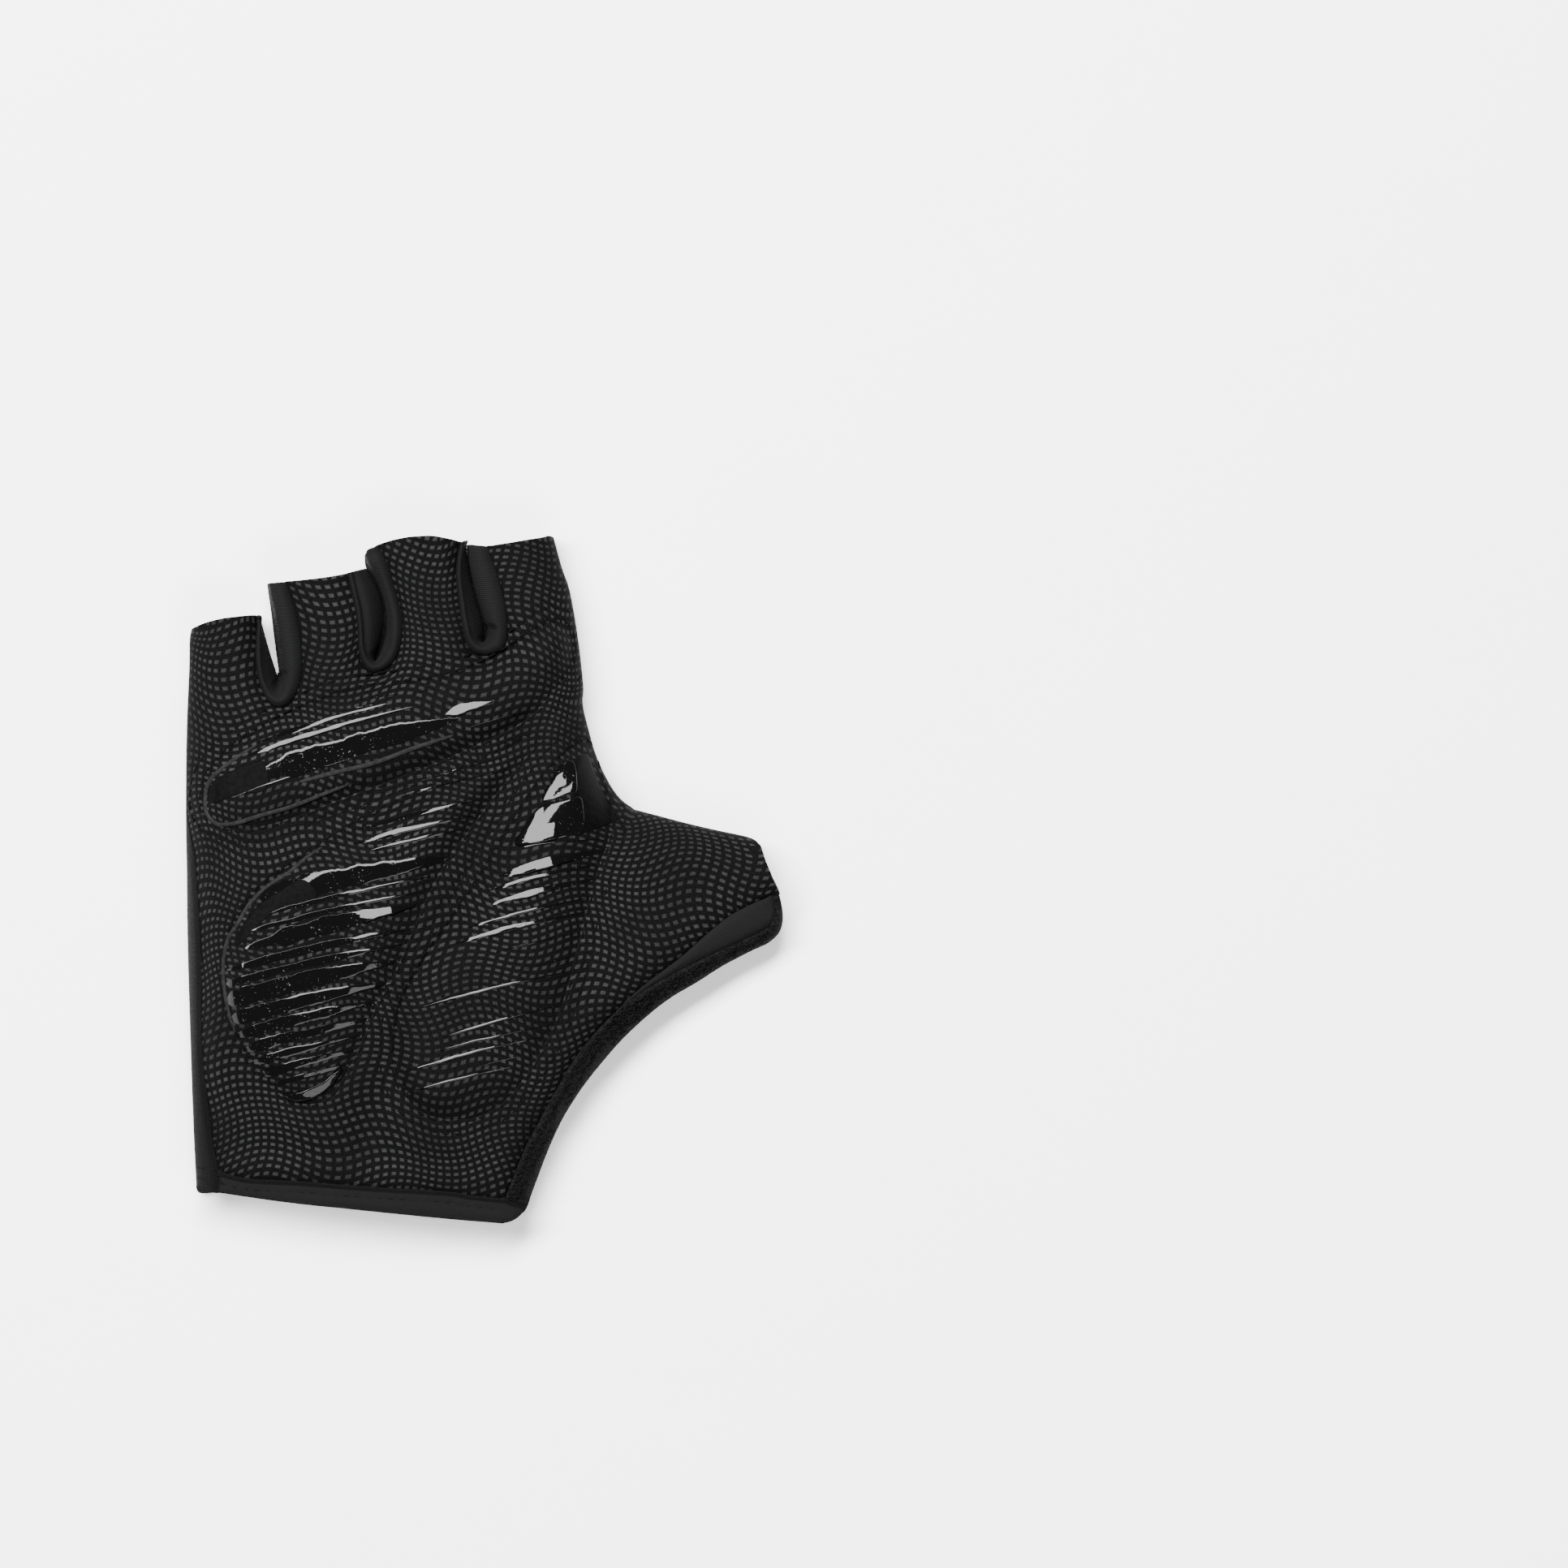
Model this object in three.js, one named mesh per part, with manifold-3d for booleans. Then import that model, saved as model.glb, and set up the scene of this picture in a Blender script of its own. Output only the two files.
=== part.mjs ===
// A fingerless cycling glove for the right hand, lying on its back with the palm up.
// Millimetres. +X points to the thumb, +Y to the fingers, +Z up from the table.
import * as THREE from "three";
import { mergeVertices } from "three/addons/utils/BufferGeometryUtils.js";
import Module from "manifold-3d";

const wasm = await Module();
wasm.setup();

// Driving dimensions
const WALL = 1.6;          // cloth with its backing
const SEAM_Z = 6;          // height of the sewn edge that makes the outline
const GUSSET_LOW = 2.4;    // lower seam of the pieces between the fingers
const GAP = 0.3;           // slit between neighbouring pieces
const SKY = 40;            // a height above everything
const CROWN = 1.2;         // how far the palm side arches between its rolled edges
const CROWN_SPAN = 40;     // width at which it arches fully, less where it is narrower
const HEM_CORNER = { x: 4.6, y: -77.4, radius: 5.1 };
const FLOOR_ROLL = 5;      // width of the rounded lower edge
const MOUTH_REACH = 6;     // how far the hollow runs past a hem
const ROLL_STEPS = 3;      // faces round a rolled edge
const PALM_STEPS = 6;      // points across the palm side between the rolled edges
const FINGER_STEPS = 2;    // the same on a finger
const FLOOR_STEPS = 2;     // faces round the lower edge
const PAD_ACROSS = 8;      // faces across a pad
const PAD_RIM = 0.7;       // step at a pad's stitched rim

// A short table becomes a list of rows with named columns.
function table(columns, lines) {
  const names = columns.split(" ");
  return lines.map((line) => Object.fromEntries(names.map((name, i) => [name, line[i]])));
}

// Sections of the hand from the wrist to the finger roots: both ends of each section on the
// outline, its height, how wide its rounded edge is, and how far its middle bows forward.
const SECTION = "leftX leftY rightX rightY top roll bow";
const PALM = table(SECTION, [
  [-69.2, -74.8, 9.0, -82.5, 14.5, 11, 0],
  [-69.7, -66.0, 14.4, -66.5, 16.0, 12, 0],
  [-70.4, -49.9, 23.2, -50.3, 18.5, 14, 0],
  [-71.0, -30.4, 29.4, -30.4, 20.0, 15, 0],
  [-71.4, -7.0, 32.6, -7.0, 20.5, 15, 0],
  [-71.8, 14.0, 31.4, 15.0, 20.0, 15, 0],
  [-71.8, 28.1, 25.7, 33.0, 18.5, 14, 0],
  [-71.4, 37.0, 23.4, 48.5, 16.8, 11, 0],
  [-71.2, 43.4, 22.3, 60.0, 15.0, 9, 0],
  [-71.1, 45.4, 22.0, 62.6, 13.2, 8, 0],
]);
const LITTLE = table(SECTION, [
  [-71.7, 30.0, -50.0, 33.0, 12.6, 8, 0],
  [-71.2, 44.8, -50.3, 48.6, 14.2, 8, 0],
  [-70.8, 53.0, -52.3, 55.6, 13.6, 8, 0],
  [-70.3, 60.6, -53.9, 62.9, 13.0, 8, 0.7],
]);
const RING = table(SECTION, [
  [-49.8, 32.0, -26.6, 37.0, 13.0, 9, 0],
  [-49.4, 48.9, -26.9, 52.6, 14.8, 9, 0],
  [-50.3, 57.0, -25.2, 58.8, 14.4, 9, 0],
  [-51.2, 64.0, -24.9, 66.0, 14.0, 9, 0],
  [-52.3, 71.2, -28.4, 74.6, 13.2, 9, 0],
]);
const MIDDLE = table(SECTION, [
  [-26.2, 37.0, -0.4, 41.0, 13.0, 9, 0],
  [-25.9, 53.0, -1.1, 57.0, 15.0, 9, 0],
  [-24.1, 60.0, -0.7, 61.5, 14.8, 9, 0],
  [-23.9, 67.0, -2.8, 67.5, 14.2, 9, 0],
  [-28.2, 77.6, -5.0, 80.2, 13.6, 9, 3.4],
]);
const INDEX = table(SECTION, [
  [0.6, 41.0, 23.6, 45.0, 13.0, 8, 0],
  [0.0, 57.6, 22.4, 58.4, 14.8, 8, 0],
  [0.4, 62.0, 21.9, 63.0, 14.4, 8, 0],
  [-1.7, 68.8, 20.6, 69.3, 13.8, 9, 0],
  [-3.7, 79.2, 16.4, 82.4, 13.2, 8, 0],
]);
const THUMB = table(SECTION, [
  [17.0, 21.0, 9.0, -60.0, 15.5, 12, 0],
  [29.5, 21.5, 20.4, -54.9, 16.2, 12, 0],
  [35.8, 16.9, 28.9, -43.1, 15.6, 12, 0],
  [39.8, 15.9, 35.1, -36.4, 15.2, 12, 0],
  [45.4, 14.5, 42.7, -29.8, 14.8, 11, 0],
  [53.2, 12.7, 51.3, -24.5, 14.2, 11, 0],
  [60.1, 11.1, 60.1, -19.4, 13.4, 10, 0],
  [64.0, 10.0, 67.6, -15.6, 12.6, 9, 0],
  [66.0, 8.8, 71.6, -8.8, 12.0, 8, 0],
]);
const FINGERS = [LITTLE, RING, MIDDLE, INDEX];

// Hollows pressed into the palm side: a line, its half width and its depth.
const DENT = "fromX fromY toX toY spread depth";
const DENTS = table(DENT, [
  [6, 27, -27, -62, 7, 3.0],
  [-66, 6, 12, 33, 6, 1.6],
  [26, 14, 24, -40, 6, 1.2],
  [34, 14, 66, -8, 7, 1.0],
]);

// Seams on the palm side, seen from above.
const POINT = "x y";
const STRIP_SEAM = table(POINT, [
  [-64.0, -90.0], [-63.8, -69.8], [-66.5, -53.8], [-67.9, -40.0], [-68.1, -18.7],
  [-69.3, 2.0], [-70.6, 10.5], [-71.9, 16.6],
]);
const HEM_SEAM = table(POINT, [
  [-63.8, -69.9], [-59.9, -71.3], [-44.5, -72.5], [-25.0, -73.8], [-8.8, -75.0], [5.2, -77.4],
]);
const EDGE_SEAM = table(POINT, [
  [3.6, -90.0], [5.2, -77.4], [9.9, -64.4], [17.0, -51.3], [26.8, -36.5], [33.5, -29.8],
]);
const WEDGE_UPPER = table(POINT, [
  [33.5, -29.8], [39.8, -24.2], [46.8, -18.9], [53.8, -12.7], [59.0, -8.6], [67.7, -3.3], [78.0, 2.2],
]);
const WEDGE_LOWER = table(POINT, [
  [33.5, -29.8], [39.8, -25.9], [46.8, -21.8], [60.8, -15.2], [70.5, -9.6], [80.0, -4.0],
]);
// The far side of the thumb's back panel, under the hand.
const BACK_SEAM = table(POINT, [
  [-2.0, -92.0], [1.0, -70.0], [10.0, -44.0], [18.0, -20.0], [25.0, 2.0], [33.0, 21.0], [36.0, 30.0],
]);
// Each finger gap piece is edged by a rounded U: its open ends, its foot and its side points.
const GUSSET_SEAMS = [
  table(POINT, [
    [-55.2, 76.0], [-55.6, 66.1], [-56.2, 57.0], [-55.8, 49.5], [-54.4, 45.4], [-52.3, 43.0],
    [-49.9, 42.2], [-47.4, 42.9], [-45.4, 45.6], [-44.5, 50.5], [-44.7, 59.0], [-46.6, 68.0],
    [-49.2, 78.0],
  ]),
  table(POINT, [
    [-33.6, 82.0], [-32.3, 73.9], [-30.5, 64.0], [-29.8, 55.8], [-28.6, 51.8], [-26.3, 50.0],
    [-23.6, 51.0], [-21.1, 54.1], [-19.9, 61.0], [-21.0, 68.0], [-24.0, 76.0], [-27.0, 90.0],
  ]),
  table(POINT, [
    [-6.2, 90.0], [-6.5, 74.0], [-5.9, 66.4], [-4.4, 58.0], [-2.3, 54.9], [0.4, 54.1],
    [3.2, 54.8], [5.2, 58.6], [5.0, 64.5], [2.9, 73.4], [0.2, 81.0], [-1.6, 90.0],
  ]),
];

// Rows across each raised pad, from one end to the other, and how high it stands there.
const PAD_ROW = "fromX fromY toX toY rise";
const METACARPAL = table(PAD_ROW, [
  [-65.6, 21.6, -65.6, 17.2, 0.4],
  [-59.9, 31.0, -57.9, 14.4, 1.6],
  [-50.1, 38.2, -46.2, 17.9, 2.2],
  [-38.4, 43.3, -35.5, 23.0, 2.4],
  [-26.3, 46.0, -24.8, 27.3, 2.4],
  [-13.1, 48.0, -11.1, 31.0, 2.2],
  [-1.4, 50.8, 2.5, 34.2, 2.0],
  [9.6, 57.0, 13.3, 39.6, 1.6],
  [16.6, 58.5, 18.2, 46.6, 0.6],
]);
const ULNAR = table(PAD_ROW, [
  [-46.6, -52.2, -42.4, -52.5, 0.6],
  [-51.8, -48.4, -36.8, -49.6, 1.6],
  [-58.5, -39.2, -30.6, -40.2, 2.4],
  [-61.8, -25.5, -23.4, -27.7, 3.0],
  [-61.2, -13.8, -17.0, -14.8, 3.0],
  [-54.4, -2.7, -12.7, -3.1, 2.6],
  [-43.3, 6.2, -9.2, 5.7, 2.2],
  [-28.7, 13.2, -3.3, 12.5, 1.8],
  [-13.1, 20.0, 2.4, 20.6, 1.4],
  [0.6, 26.4, 8.4, 28.6, 0.6],
]);
const THENAR = table(PAD_ROW, [
  [-12.6, -56.8, -5.0, -57.2, 0.6],
  [-18.4, -52.6, 2.4, -53.6, 1.6],
  [-21.4, -46.0, 8.4, -45.2, 2.2],
  [-21.0, -34.7, 16.4, -33.9, 2.8],
  [-16.6, -25.0, 20.1, -23.4, 3.0],
  [-11.1, -15.6, 22.8, -14.8, 3.0],
  [-5.7, -6.2, 25.0, -5.5, 2.8],
  [0.0, 2.0, 27.4, 2.3, 2.6],
  [6.0, 9.4, 29.6, 10.6, 2.2],
  [11.3, 16.8, 29.6, 18.0, 1.8],
  [17.0, 25.4, 26.4, 26.0, 1.0],
  [20.0, 30.0, 23.4, 30.2, 0.5],
]);

// Solids from meshes and back

function toSolid(geometry) {
  geometry.deleteAttribute("normal");
  geometry.deleteAttribute("uv");
  const welded = mergeVertices(geometry, 1e-4);
  return new wasm.Manifold(new wasm.Mesh({
    numProp: 3,
    vertProperties: Float32Array.from(welded.attributes.position.array),
    triVerts: Uint32Array.from(welded.index.array),
  }));
}

function toGeometry(solid) {
  const mesh = solid.getMesh();
  const geometry = new THREE.BufferGeometry();
  geometry.setAttribute("position", new THREE.BufferAttribute(mesh.vertProperties, 3));
  geometry.setIndex(new THREE.BufferAttribute(mesh.triVerts, 1));
  return geometry;
}

function joined(solids) {
  return solids.reduce((sum, solid) => sum.add(solid));
}

// A cut can leave crumbs beside the piece that is meant.
function largest(solid) {
  const pieces = solid.decompose();
  return pieces.reduce((best, piece) => (piece.volume() > best.volume() ? piece : best));
}

// Sections

// More sections between the rows of a table, on smooth curves.
function refined(rows, spans) {
  const curve = (a, b, c) => new THREE.CatmullRomCurve3(
    rows.map((row) => new THREE.Vector3(row[a], row[b], row[c])));
  const left = curve("leftX", "leftY", "top");
  const right = curve("rightX", "rightY", "roll");
  const bow = curve("bow", "bow", "bow");
  const count = (rows.length - 1) * spans;
  return Array.from({ length: count + 1 }, (_, i) => {
    const l = left.getPoint(i / count);
    const r = right.getPoint(i / count);
    return {
      leftX: l.x, leftY: l.y, rightX: r.x, rightY: r.y,
      top: l.z, roll: r.z, bow: bow.getPoint(i / count).x,
    };
  });
}

// The row that lies a given distance past the last one, in the same direction.
function beyond(rows, distance) {
  const last = rows[rows.length - 1];
  const before = rows[rows.length - 2];
  const middle = (row) => new THREE.Vector2((row.leftX + row.rightX) / 2, (row.leftY + row.rightY) / 2);
  const step = middle(last).sub(middle(before)).setLength(distance);
  return {
    ...last,
    leftX: last.leftX + step.x, leftY: last.leftY + step.y,
    rightX: last.rightX + step.x, rightY: last.rightY + step.y,
  };
}

function dentDepth(x, y) {
  const here = new THREE.Vector3(x, y, 0);
  const nearest = new THREE.Vector3();
  return DENTS.reduce((sum, dent) => {
    const line = new THREE.Line3(
      new THREE.Vector3(dent.fromX, dent.fromY, 0), new THREE.Vector3(dent.toX, dent.toY, 0));
    const away = line.closestPointToPoint(here, true, nearest).distanceTo(here) / dent.spread;
    return sum + dent.depth * Math.exp(-away * away);
  }, 0);
}

// One closed section: over the palm side from left to right, and back along the table.
function ring(row, grow, steps) {
  const left = new THREE.Vector2(row.leftX, row.leftY);
  const along = new THREE.Vector2(row.rightX, row.rightY).sub(left);
  const width = along.length() + 2 * grow;
  along.normalize();
  const ahead = new THREE.Vector2(-along.y, along.x);
  const roll = Math.min(row.roll + grow, width * 0.45);
  const floorRoll = FLOOR_ROLL + grow;
  const crown = CROWN * Math.min((width - 2 * roll) / CROWN_SPAN, 1);
  const shoulder = row.top - crown + grow;
  const floor = -grow;
  const profile = [];
  for (let i = 0; i <= ROLL_STEPS; i += 1) {
    const angle = (i / ROLL_STEPS) * Math.PI / 2;
    profile.push([roll * (1 - Math.cos(angle)), SEAM_Z + (shoulder - SEAM_Z) * Math.sin(angle)]);
  }
  for (let i = 1; i <= steps; i += 1) {
    const t = i / (steps + 1);
    profile.push([roll + t * (width - 2 * roll), shoulder + crown * 4 * t * (1 - t)]);
  }
  for (let i = ROLL_STEPS; i >= 0; i -= 1) {
    const angle = (i / ROLL_STEPS) * Math.PI / 2;
    profile.push([width - roll * (1 - Math.cos(angle)), SEAM_Z + (shoulder - SEAM_Z) * Math.sin(angle)]);
  }
  for (let i = 1; i <= FLOOR_STEPS; i += 1) {
    const angle = (i / FLOOR_STEPS) * Math.PI / 2;
    profile.push([width - floorRoll * (1 - Math.cos(angle)), SEAM_Z - (SEAM_Z - floor) * Math.sin(angle)]);
  }
  for (let i = FLOOR_STEPS; i >= 1; i -= 1) {
    const angle = (i / FLOOR_STEPS) * Math.PI / 2;
    profile.push([floorRoll * (1 - Math.cos(angle)), SEAM_Z - (SEAM_Z - floor) * Math.sin(angle)]);
  }
  return profile.map(([offset, z]) => {
    const bow = row.bow * 4 * (offset / width) * (1 - offset / width);
    const x = left.x + along.x * (offset - grow) + ahead.x * bow;
    const y = left.y + along.y * (offset - grow) + ahead.y * bow;
    const share = THREE.MathUtils.clamp((z - SEAM_Z) / (shoulder - SEAM_Z), 0, 1);
    return new THREE.Vector3(x, y, z - dentDepth(x, y) * share);
  });
}

// A closed solid through rings with equal numbers of points.
function skin(rings) {
  const sides = rings[0].length;
  const points = rings.flat();
  const faces = [];
  for (let r = 0; r < rings.length - 1; r += 1) {
    for (let s = 0; s < sides; s += 1) {
      const a = r * sides + s;
      const b = r * sides + (s + 1) % sides;
      faces.push(a, b, a + sides, b, b + sides, a + sides);
    }
  }
  const cap = (start, flip) => {
    const centre = new THREE.Vector3();
    for (let s = 0; s < sides; s += 1) centre.add(points[start + s]);
    const hub = points.push(centre.divideScalar(sides)) - 1;
    for (let s = 0; s < sides; s += 1) {
      const next = start + (s + 1) % sides;
      faces.push(hub, flip ? start + s : next, flip ? next : start + s);
    }
  };
  const lastStart = (rings.length - 1) * sides;
  cap(0, false);
  cap(lastStart, true);
  const geometry = new THREE.BufferGeometry().setFromPoints(points);
  geometry.setIndex(faces);
  return toSolid(geometry);
}

function tube(rows, grow, steps) {
  return skin(rows.map((row) => ring(row, grow, steps)));
}

// The whole hand as one body, larger or smaller than the outline by grow.
function hand(grow, extendMouths) {
  const opened = (rows) => (extendMouths ? [...rows, beyond(rows, MOUTH_REACH)] : rows);
  const palmRows = refined(PALM, 2);
  if (extendMouths) palmRows.unshift(beyond([...palmRows].reverse(), MOUTH_REACH));
  const knuckles = palmRows.pop();
  palmRows.push({ ...knuckles, leftY: knuckles.leftY + grow, rightY: knuckles.rightY + grow });
  return joined([
    tube(palmRows, grow, PALM_STEPS),
    tube(opened(refined(THUMB, 1)), grow, PALM_STEPS),
    ...FINGERS.map((rows) => tube(opened(refined(rows, 1)), grow, FINGER_STEPS)),
  ]);
}

// Cutters seen from above

function prism(points, low, high) {
  const shape = new THREE.Shape(points.map((p) => new THREE.Vector2(p.x, p.y)));
  const geometry = new THREE.ExtrudeGeometry(shape, { depth: high - low, bevelEnabled: false });
  geometry.translate(0, 0, low);
  return toSolid(geometry);
}

function smoothLine(points, perSpan) {
  const curve = new THREE.CatmullRomCurve3(points.map((p) => new THREE.Vector3(p.x, p.y, 0)));
  return Array.from({ length: (points.length - 1) * perSpan + 1 },
    (_, i) => curve.getPoint(i / ((points.length - 1) * perSpan)));
}

// A thin upright blade along a seam, which leaves the slit between two pieces.
function blade(points, low, high) {
  const side = (sign) => points.map((p, i) => {
    const before = points[Math.max(i - 1, 0)];
    const after = points[Math.min(i + 1, points.length - 1)];
    const normal = new THREE.Vector2(before.y - after.y, after.x - before.x).setLength(sign * GAP / 2);
    return { x: p.x + normal.x, y: p.y + normal.y };
  });
  return prism([...side(1), ...side(-1).reverse()], low, high);
}

const stripSeam = smoothLine(STRIP_SEAM, 1);
const edgeSeam = smoothLine(EDGE_SEAM, 2);
const wedgeUpper = smoothLine(WEDGE_UPPER, 1);
const wedgeLower = smoothLine(WEDGE_LOWER, 1);
const backSeam = smoothLine(BACK_SEAM, 2);
const hemSeam = smoothLine(HEM_SEAM, 1);
const gussetSeams = GUSSET_SEAMS.map((points) => smoothLine(points, 1));

const EVERYWHERE = [{ x: -95, y: -95 }, { x: 95, y: -95 }, { x: 95, y: 95 }, { x: -95, y: 95 }];
const STRIP_PLAN = [...stripSeam, { x: -95, y: 16.6 }, { x: -95, y: -90 }];
const EDGE_PLAN = [...edgeSeam, ...wedgeLower.slice(1), { x: 95, y: -4 }, { x: 95, y: -90 }];
const WEDGE_PLAN = [...wedgeUpper, ...wedgeLower.slice(1).reverse()];
const HEM_PLAN = [...hemSeam, { x: 5.2, y: -90 }, { x: -63.8, y: -90 }];
const BACK_PLAN = [...backSeam, { x: 95, y: 30 }, { x: 95, y: -92 }];

const strip = prism(STRIP_PLAN, -1, SKY);
const edge = prism(EDGE_PLAN, SEAM_Z, SKY);
const edgeFull = prism(EDGE_PLAN, -1, SKY);
const wedge = prism(WEDGE_PLAN, SEAM_Z, SKY);
const hem = prism(HEM_PLAN, SEAM_Z, SKY);
const thumbBack = prism(BACK_PLAN, -1, SEAM_Z);
const gussets = gussetSeams.map((points) => prism(points, GUSSET_LOW, SKY));
const gussetsFull = gussetSeams.map((points) => prism(points, -1, SKY));
const upper = prism(EVERYWHERE, SEAM_Z, SKY);
const lower = prism(EVERYWHERE, -1, SEAM_Z);

// Every slit: the seam round the outline, the lower seam of the finger gap pieces, and the
// upright ones on the palm side and under the hand.
function slits() {
  const level = (z) => prism(EVERYWHERE, z - GAP / 2, z + GAP / 2);
  const around = joined([strip, edgeFull, ...gussetsFull]);
  const under = level(GUSSET_LOW).intersect(joined(gussetsFull));
  const upright = [stripSeam, edgeSeam, wedgeUpper, wedgeLower, hemSeam]
    .map((points) => blade(points, SEAM_Z - GAP / 2, SKY));
  const round = gussetSeams.map((points) => blade(points, GUSSET_LOW - GAP / 2, SKY));
  const below = blade(backSeam, -1, SEAM_Z + GAP / 2);
  return joined([level(SEAM_Z).subtract(around), under, ...upright, ...round, below]);
}

// What the rounded corner of the wrist hem leaves off.
function hemCorner() {
  const { x, y, radius } = HEM_CORNER;
  const arc = [-100, -78, -56, -34, -12].map((degrees) => {
    const angle = THREE.MathUtils.degToRad(degrees);
    return { x: x + radius * Math.cos(angle), y: y + radius * Math.sin(angle) };
  });
  return prism([...arc, { x: 20, y: -77 }, { x: 20, y: -90 }, { x: 3.7, y: -90 }], -1, SKY);
}

const outer = hand(0, false);
const shell = outer.subtract(hand(-WALL, true)).subtract(slits()).subtract(hemCorner());

// Pads

// How high the palm side stands above a point of the table.
const outerMesh = new THREE.Mesh(toGeometry(outer), new THREE.MeshBasicMaterial());
function palmHeight(x, y) {
  const ray = new THREE.Raycaster(new THREE.Vector3(x, y, SKY), new THREE.Vector3(0, 0, -1));
  return ray.intersectObject(outerMesh)[0].point.z;
}

const clearance = hand(GAP, false);

// A domed pad on the palm, a little clear of it all over.
function pad(rows) {
  const curve = (a, b, c) => new THREE.CatmullRomCurve3(
    rows.map((row) => new THREE.Vector3(row[a], row[b], row[c])));
  const from = curve("fromX", "fromY", "rise");
  const to = curve("toX", "toY", "rise");
  const count = (rows.length - 1) * 2;
  const rings = Array.from({ length: count + 1 }, (_, i) => {
    const a = from.getPoint(i / count);
    const b = to.getPoint(i / count);
    const over = [];
    const under = [];
    for (let j = 0; j <= PAD_ACROSS; j += 1) {
      const t = j / PAD_ACROSS;
      const spread = (1 - Math.cos(Math.PI * t)) / 2;
      const x = THREE.MathUtils.lerp(a.x, b.x, spread);
      const y = THREE.MathUtils.lerp(a.y, b.y, spread);
      const base = palmHeight(x, y);
      over.push(new THREE.Vector3(x, y, base + GAP + PAD_RIM + a.z * Math.sin(Math.PI * t)));
      under.unshift(new THREE.Vector3(x, y, base - 1.5));
    }
    return [...over, ...under];
  });
  return largest(skin(rings).subtract(clearance));
}

// Materials

function cloth(color, roughness) {
  return new THREE.MeshStandardMaterial({ color, roughness, metalness: 0 });
}
const suede = cloth(0x1a1a1b, 0.85);
const knit = cloth(0x232323, 0.9);
const terry = cloth(0x151515, 0.98);
const tape = cloth(0x1e1e1e, 0.8);
const silicone = cloth(0x0b0b0c, 0.25);

// Pieces

const glove = new THREE.Group();

function place(name, solid, material) {
  const mesh = new THREE.Mesh(toGeometry(largest(solid)), material);
  mesh.name = name;
  glove.add(mesh);
}

function buildPanels() {
  const besidePalm = joined([strip, edge, wedge, hem, ...gussetsFull]);
  place("palm_panel", shell.intersect(upper).subtract(besidePalm), suede);
  const backPlan = joined([lower.subtract(joined([thumbBack, ...gussets])), strip]);
  place("back_panel", shell.intersect(backPlan), knit);
  place("thumb_back_panel", shell.intersect(edge.add(thumbBack)), terry);
  place("thumb_gusset", shell.intersect(wedge), knit);
  place("wrist_binding", shell.intersect(hem), tape);
  gussets.forEach((plan, i) => place(`finger_gusset_${i + 1}`, shell.intersect(plan), knit));
}

function buildPads() {
  place("metacarpal_pad", pad(METACARPAL), silicone);
  place("ulnar_pad", pad(ULNAR), silicone);
  place("thenar_pad", pad(THENAR), silicone);
}

buildPanels();
buildPads();

export default glove;
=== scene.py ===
"""The looks of a fingerless cycling glove, a right-hand one lying on its back with the palm up.

Every size below is in millimetres in the glove's own frame: +X to the thumb, +Y to the fingers,
+Z up from the table. Meshes are made in metres.
"""
import math

import bpy
import numpy as np
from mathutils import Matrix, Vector
from mathutils.geometry import delaunay_2d_cdt
from mathutils.kdtree import KDTree


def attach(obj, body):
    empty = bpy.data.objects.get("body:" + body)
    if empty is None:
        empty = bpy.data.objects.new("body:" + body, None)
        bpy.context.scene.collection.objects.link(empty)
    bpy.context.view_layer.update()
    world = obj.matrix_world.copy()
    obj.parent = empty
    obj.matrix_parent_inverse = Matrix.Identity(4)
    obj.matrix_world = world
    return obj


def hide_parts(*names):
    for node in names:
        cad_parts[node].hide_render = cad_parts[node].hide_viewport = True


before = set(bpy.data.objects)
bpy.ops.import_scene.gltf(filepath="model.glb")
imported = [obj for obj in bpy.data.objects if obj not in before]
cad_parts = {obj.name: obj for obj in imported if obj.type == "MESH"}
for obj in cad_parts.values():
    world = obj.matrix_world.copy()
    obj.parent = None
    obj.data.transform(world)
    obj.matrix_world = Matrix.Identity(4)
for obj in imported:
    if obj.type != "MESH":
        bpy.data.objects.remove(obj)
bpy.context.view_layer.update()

MM = 0.001
SEAM_Z = 6.0            # height of the sewn edge that makes the outline
GUSSET_LOW = 2.4        # lower seam of the pieces between the fingers
CLOTH = 1.0             # thickness of a panel
RIBBED = 0.8            # of the ribbed knit
PAD_COVER = 0.9         # of a pad's cover
FILM = 0.25             # of a film of print
FLOOR_ROLL = 5.0        # width of the rounded lower edge
REST_GAP = 0.15         # the lowest cloth above the table
STEP = 0.7              # spacing of points along an edge
GRID = 0.85             # spacing of points inside a panel
RING_DEPTHS = (0.2, 0.55, 1.1)   # rings of points inside a panel's edge
RIM_WIDTH_OF_PANEL = 0.6         # over which a panel's rim turns down into its seam

# Curves and fields in the plan

def lengths(line):
    """Distance along a line to each of its points."""
    return np.concatenate([[0], np.cumsum(np.linalg.norm(np.diff(line, axis=0), axis=1))])


def places(line, along, at):
    """What a line holds at distances along it."""
    return np.column_stack([np.interp(at, along, column) for column in line.T])


def right_of(run):
    """Unit vectors to the right of directions in the plan."""
    return np.column_stack([run[:, 1], -run[:, 0]]) / np.linalg.norm(run, axis=1)[:, None]


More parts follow.
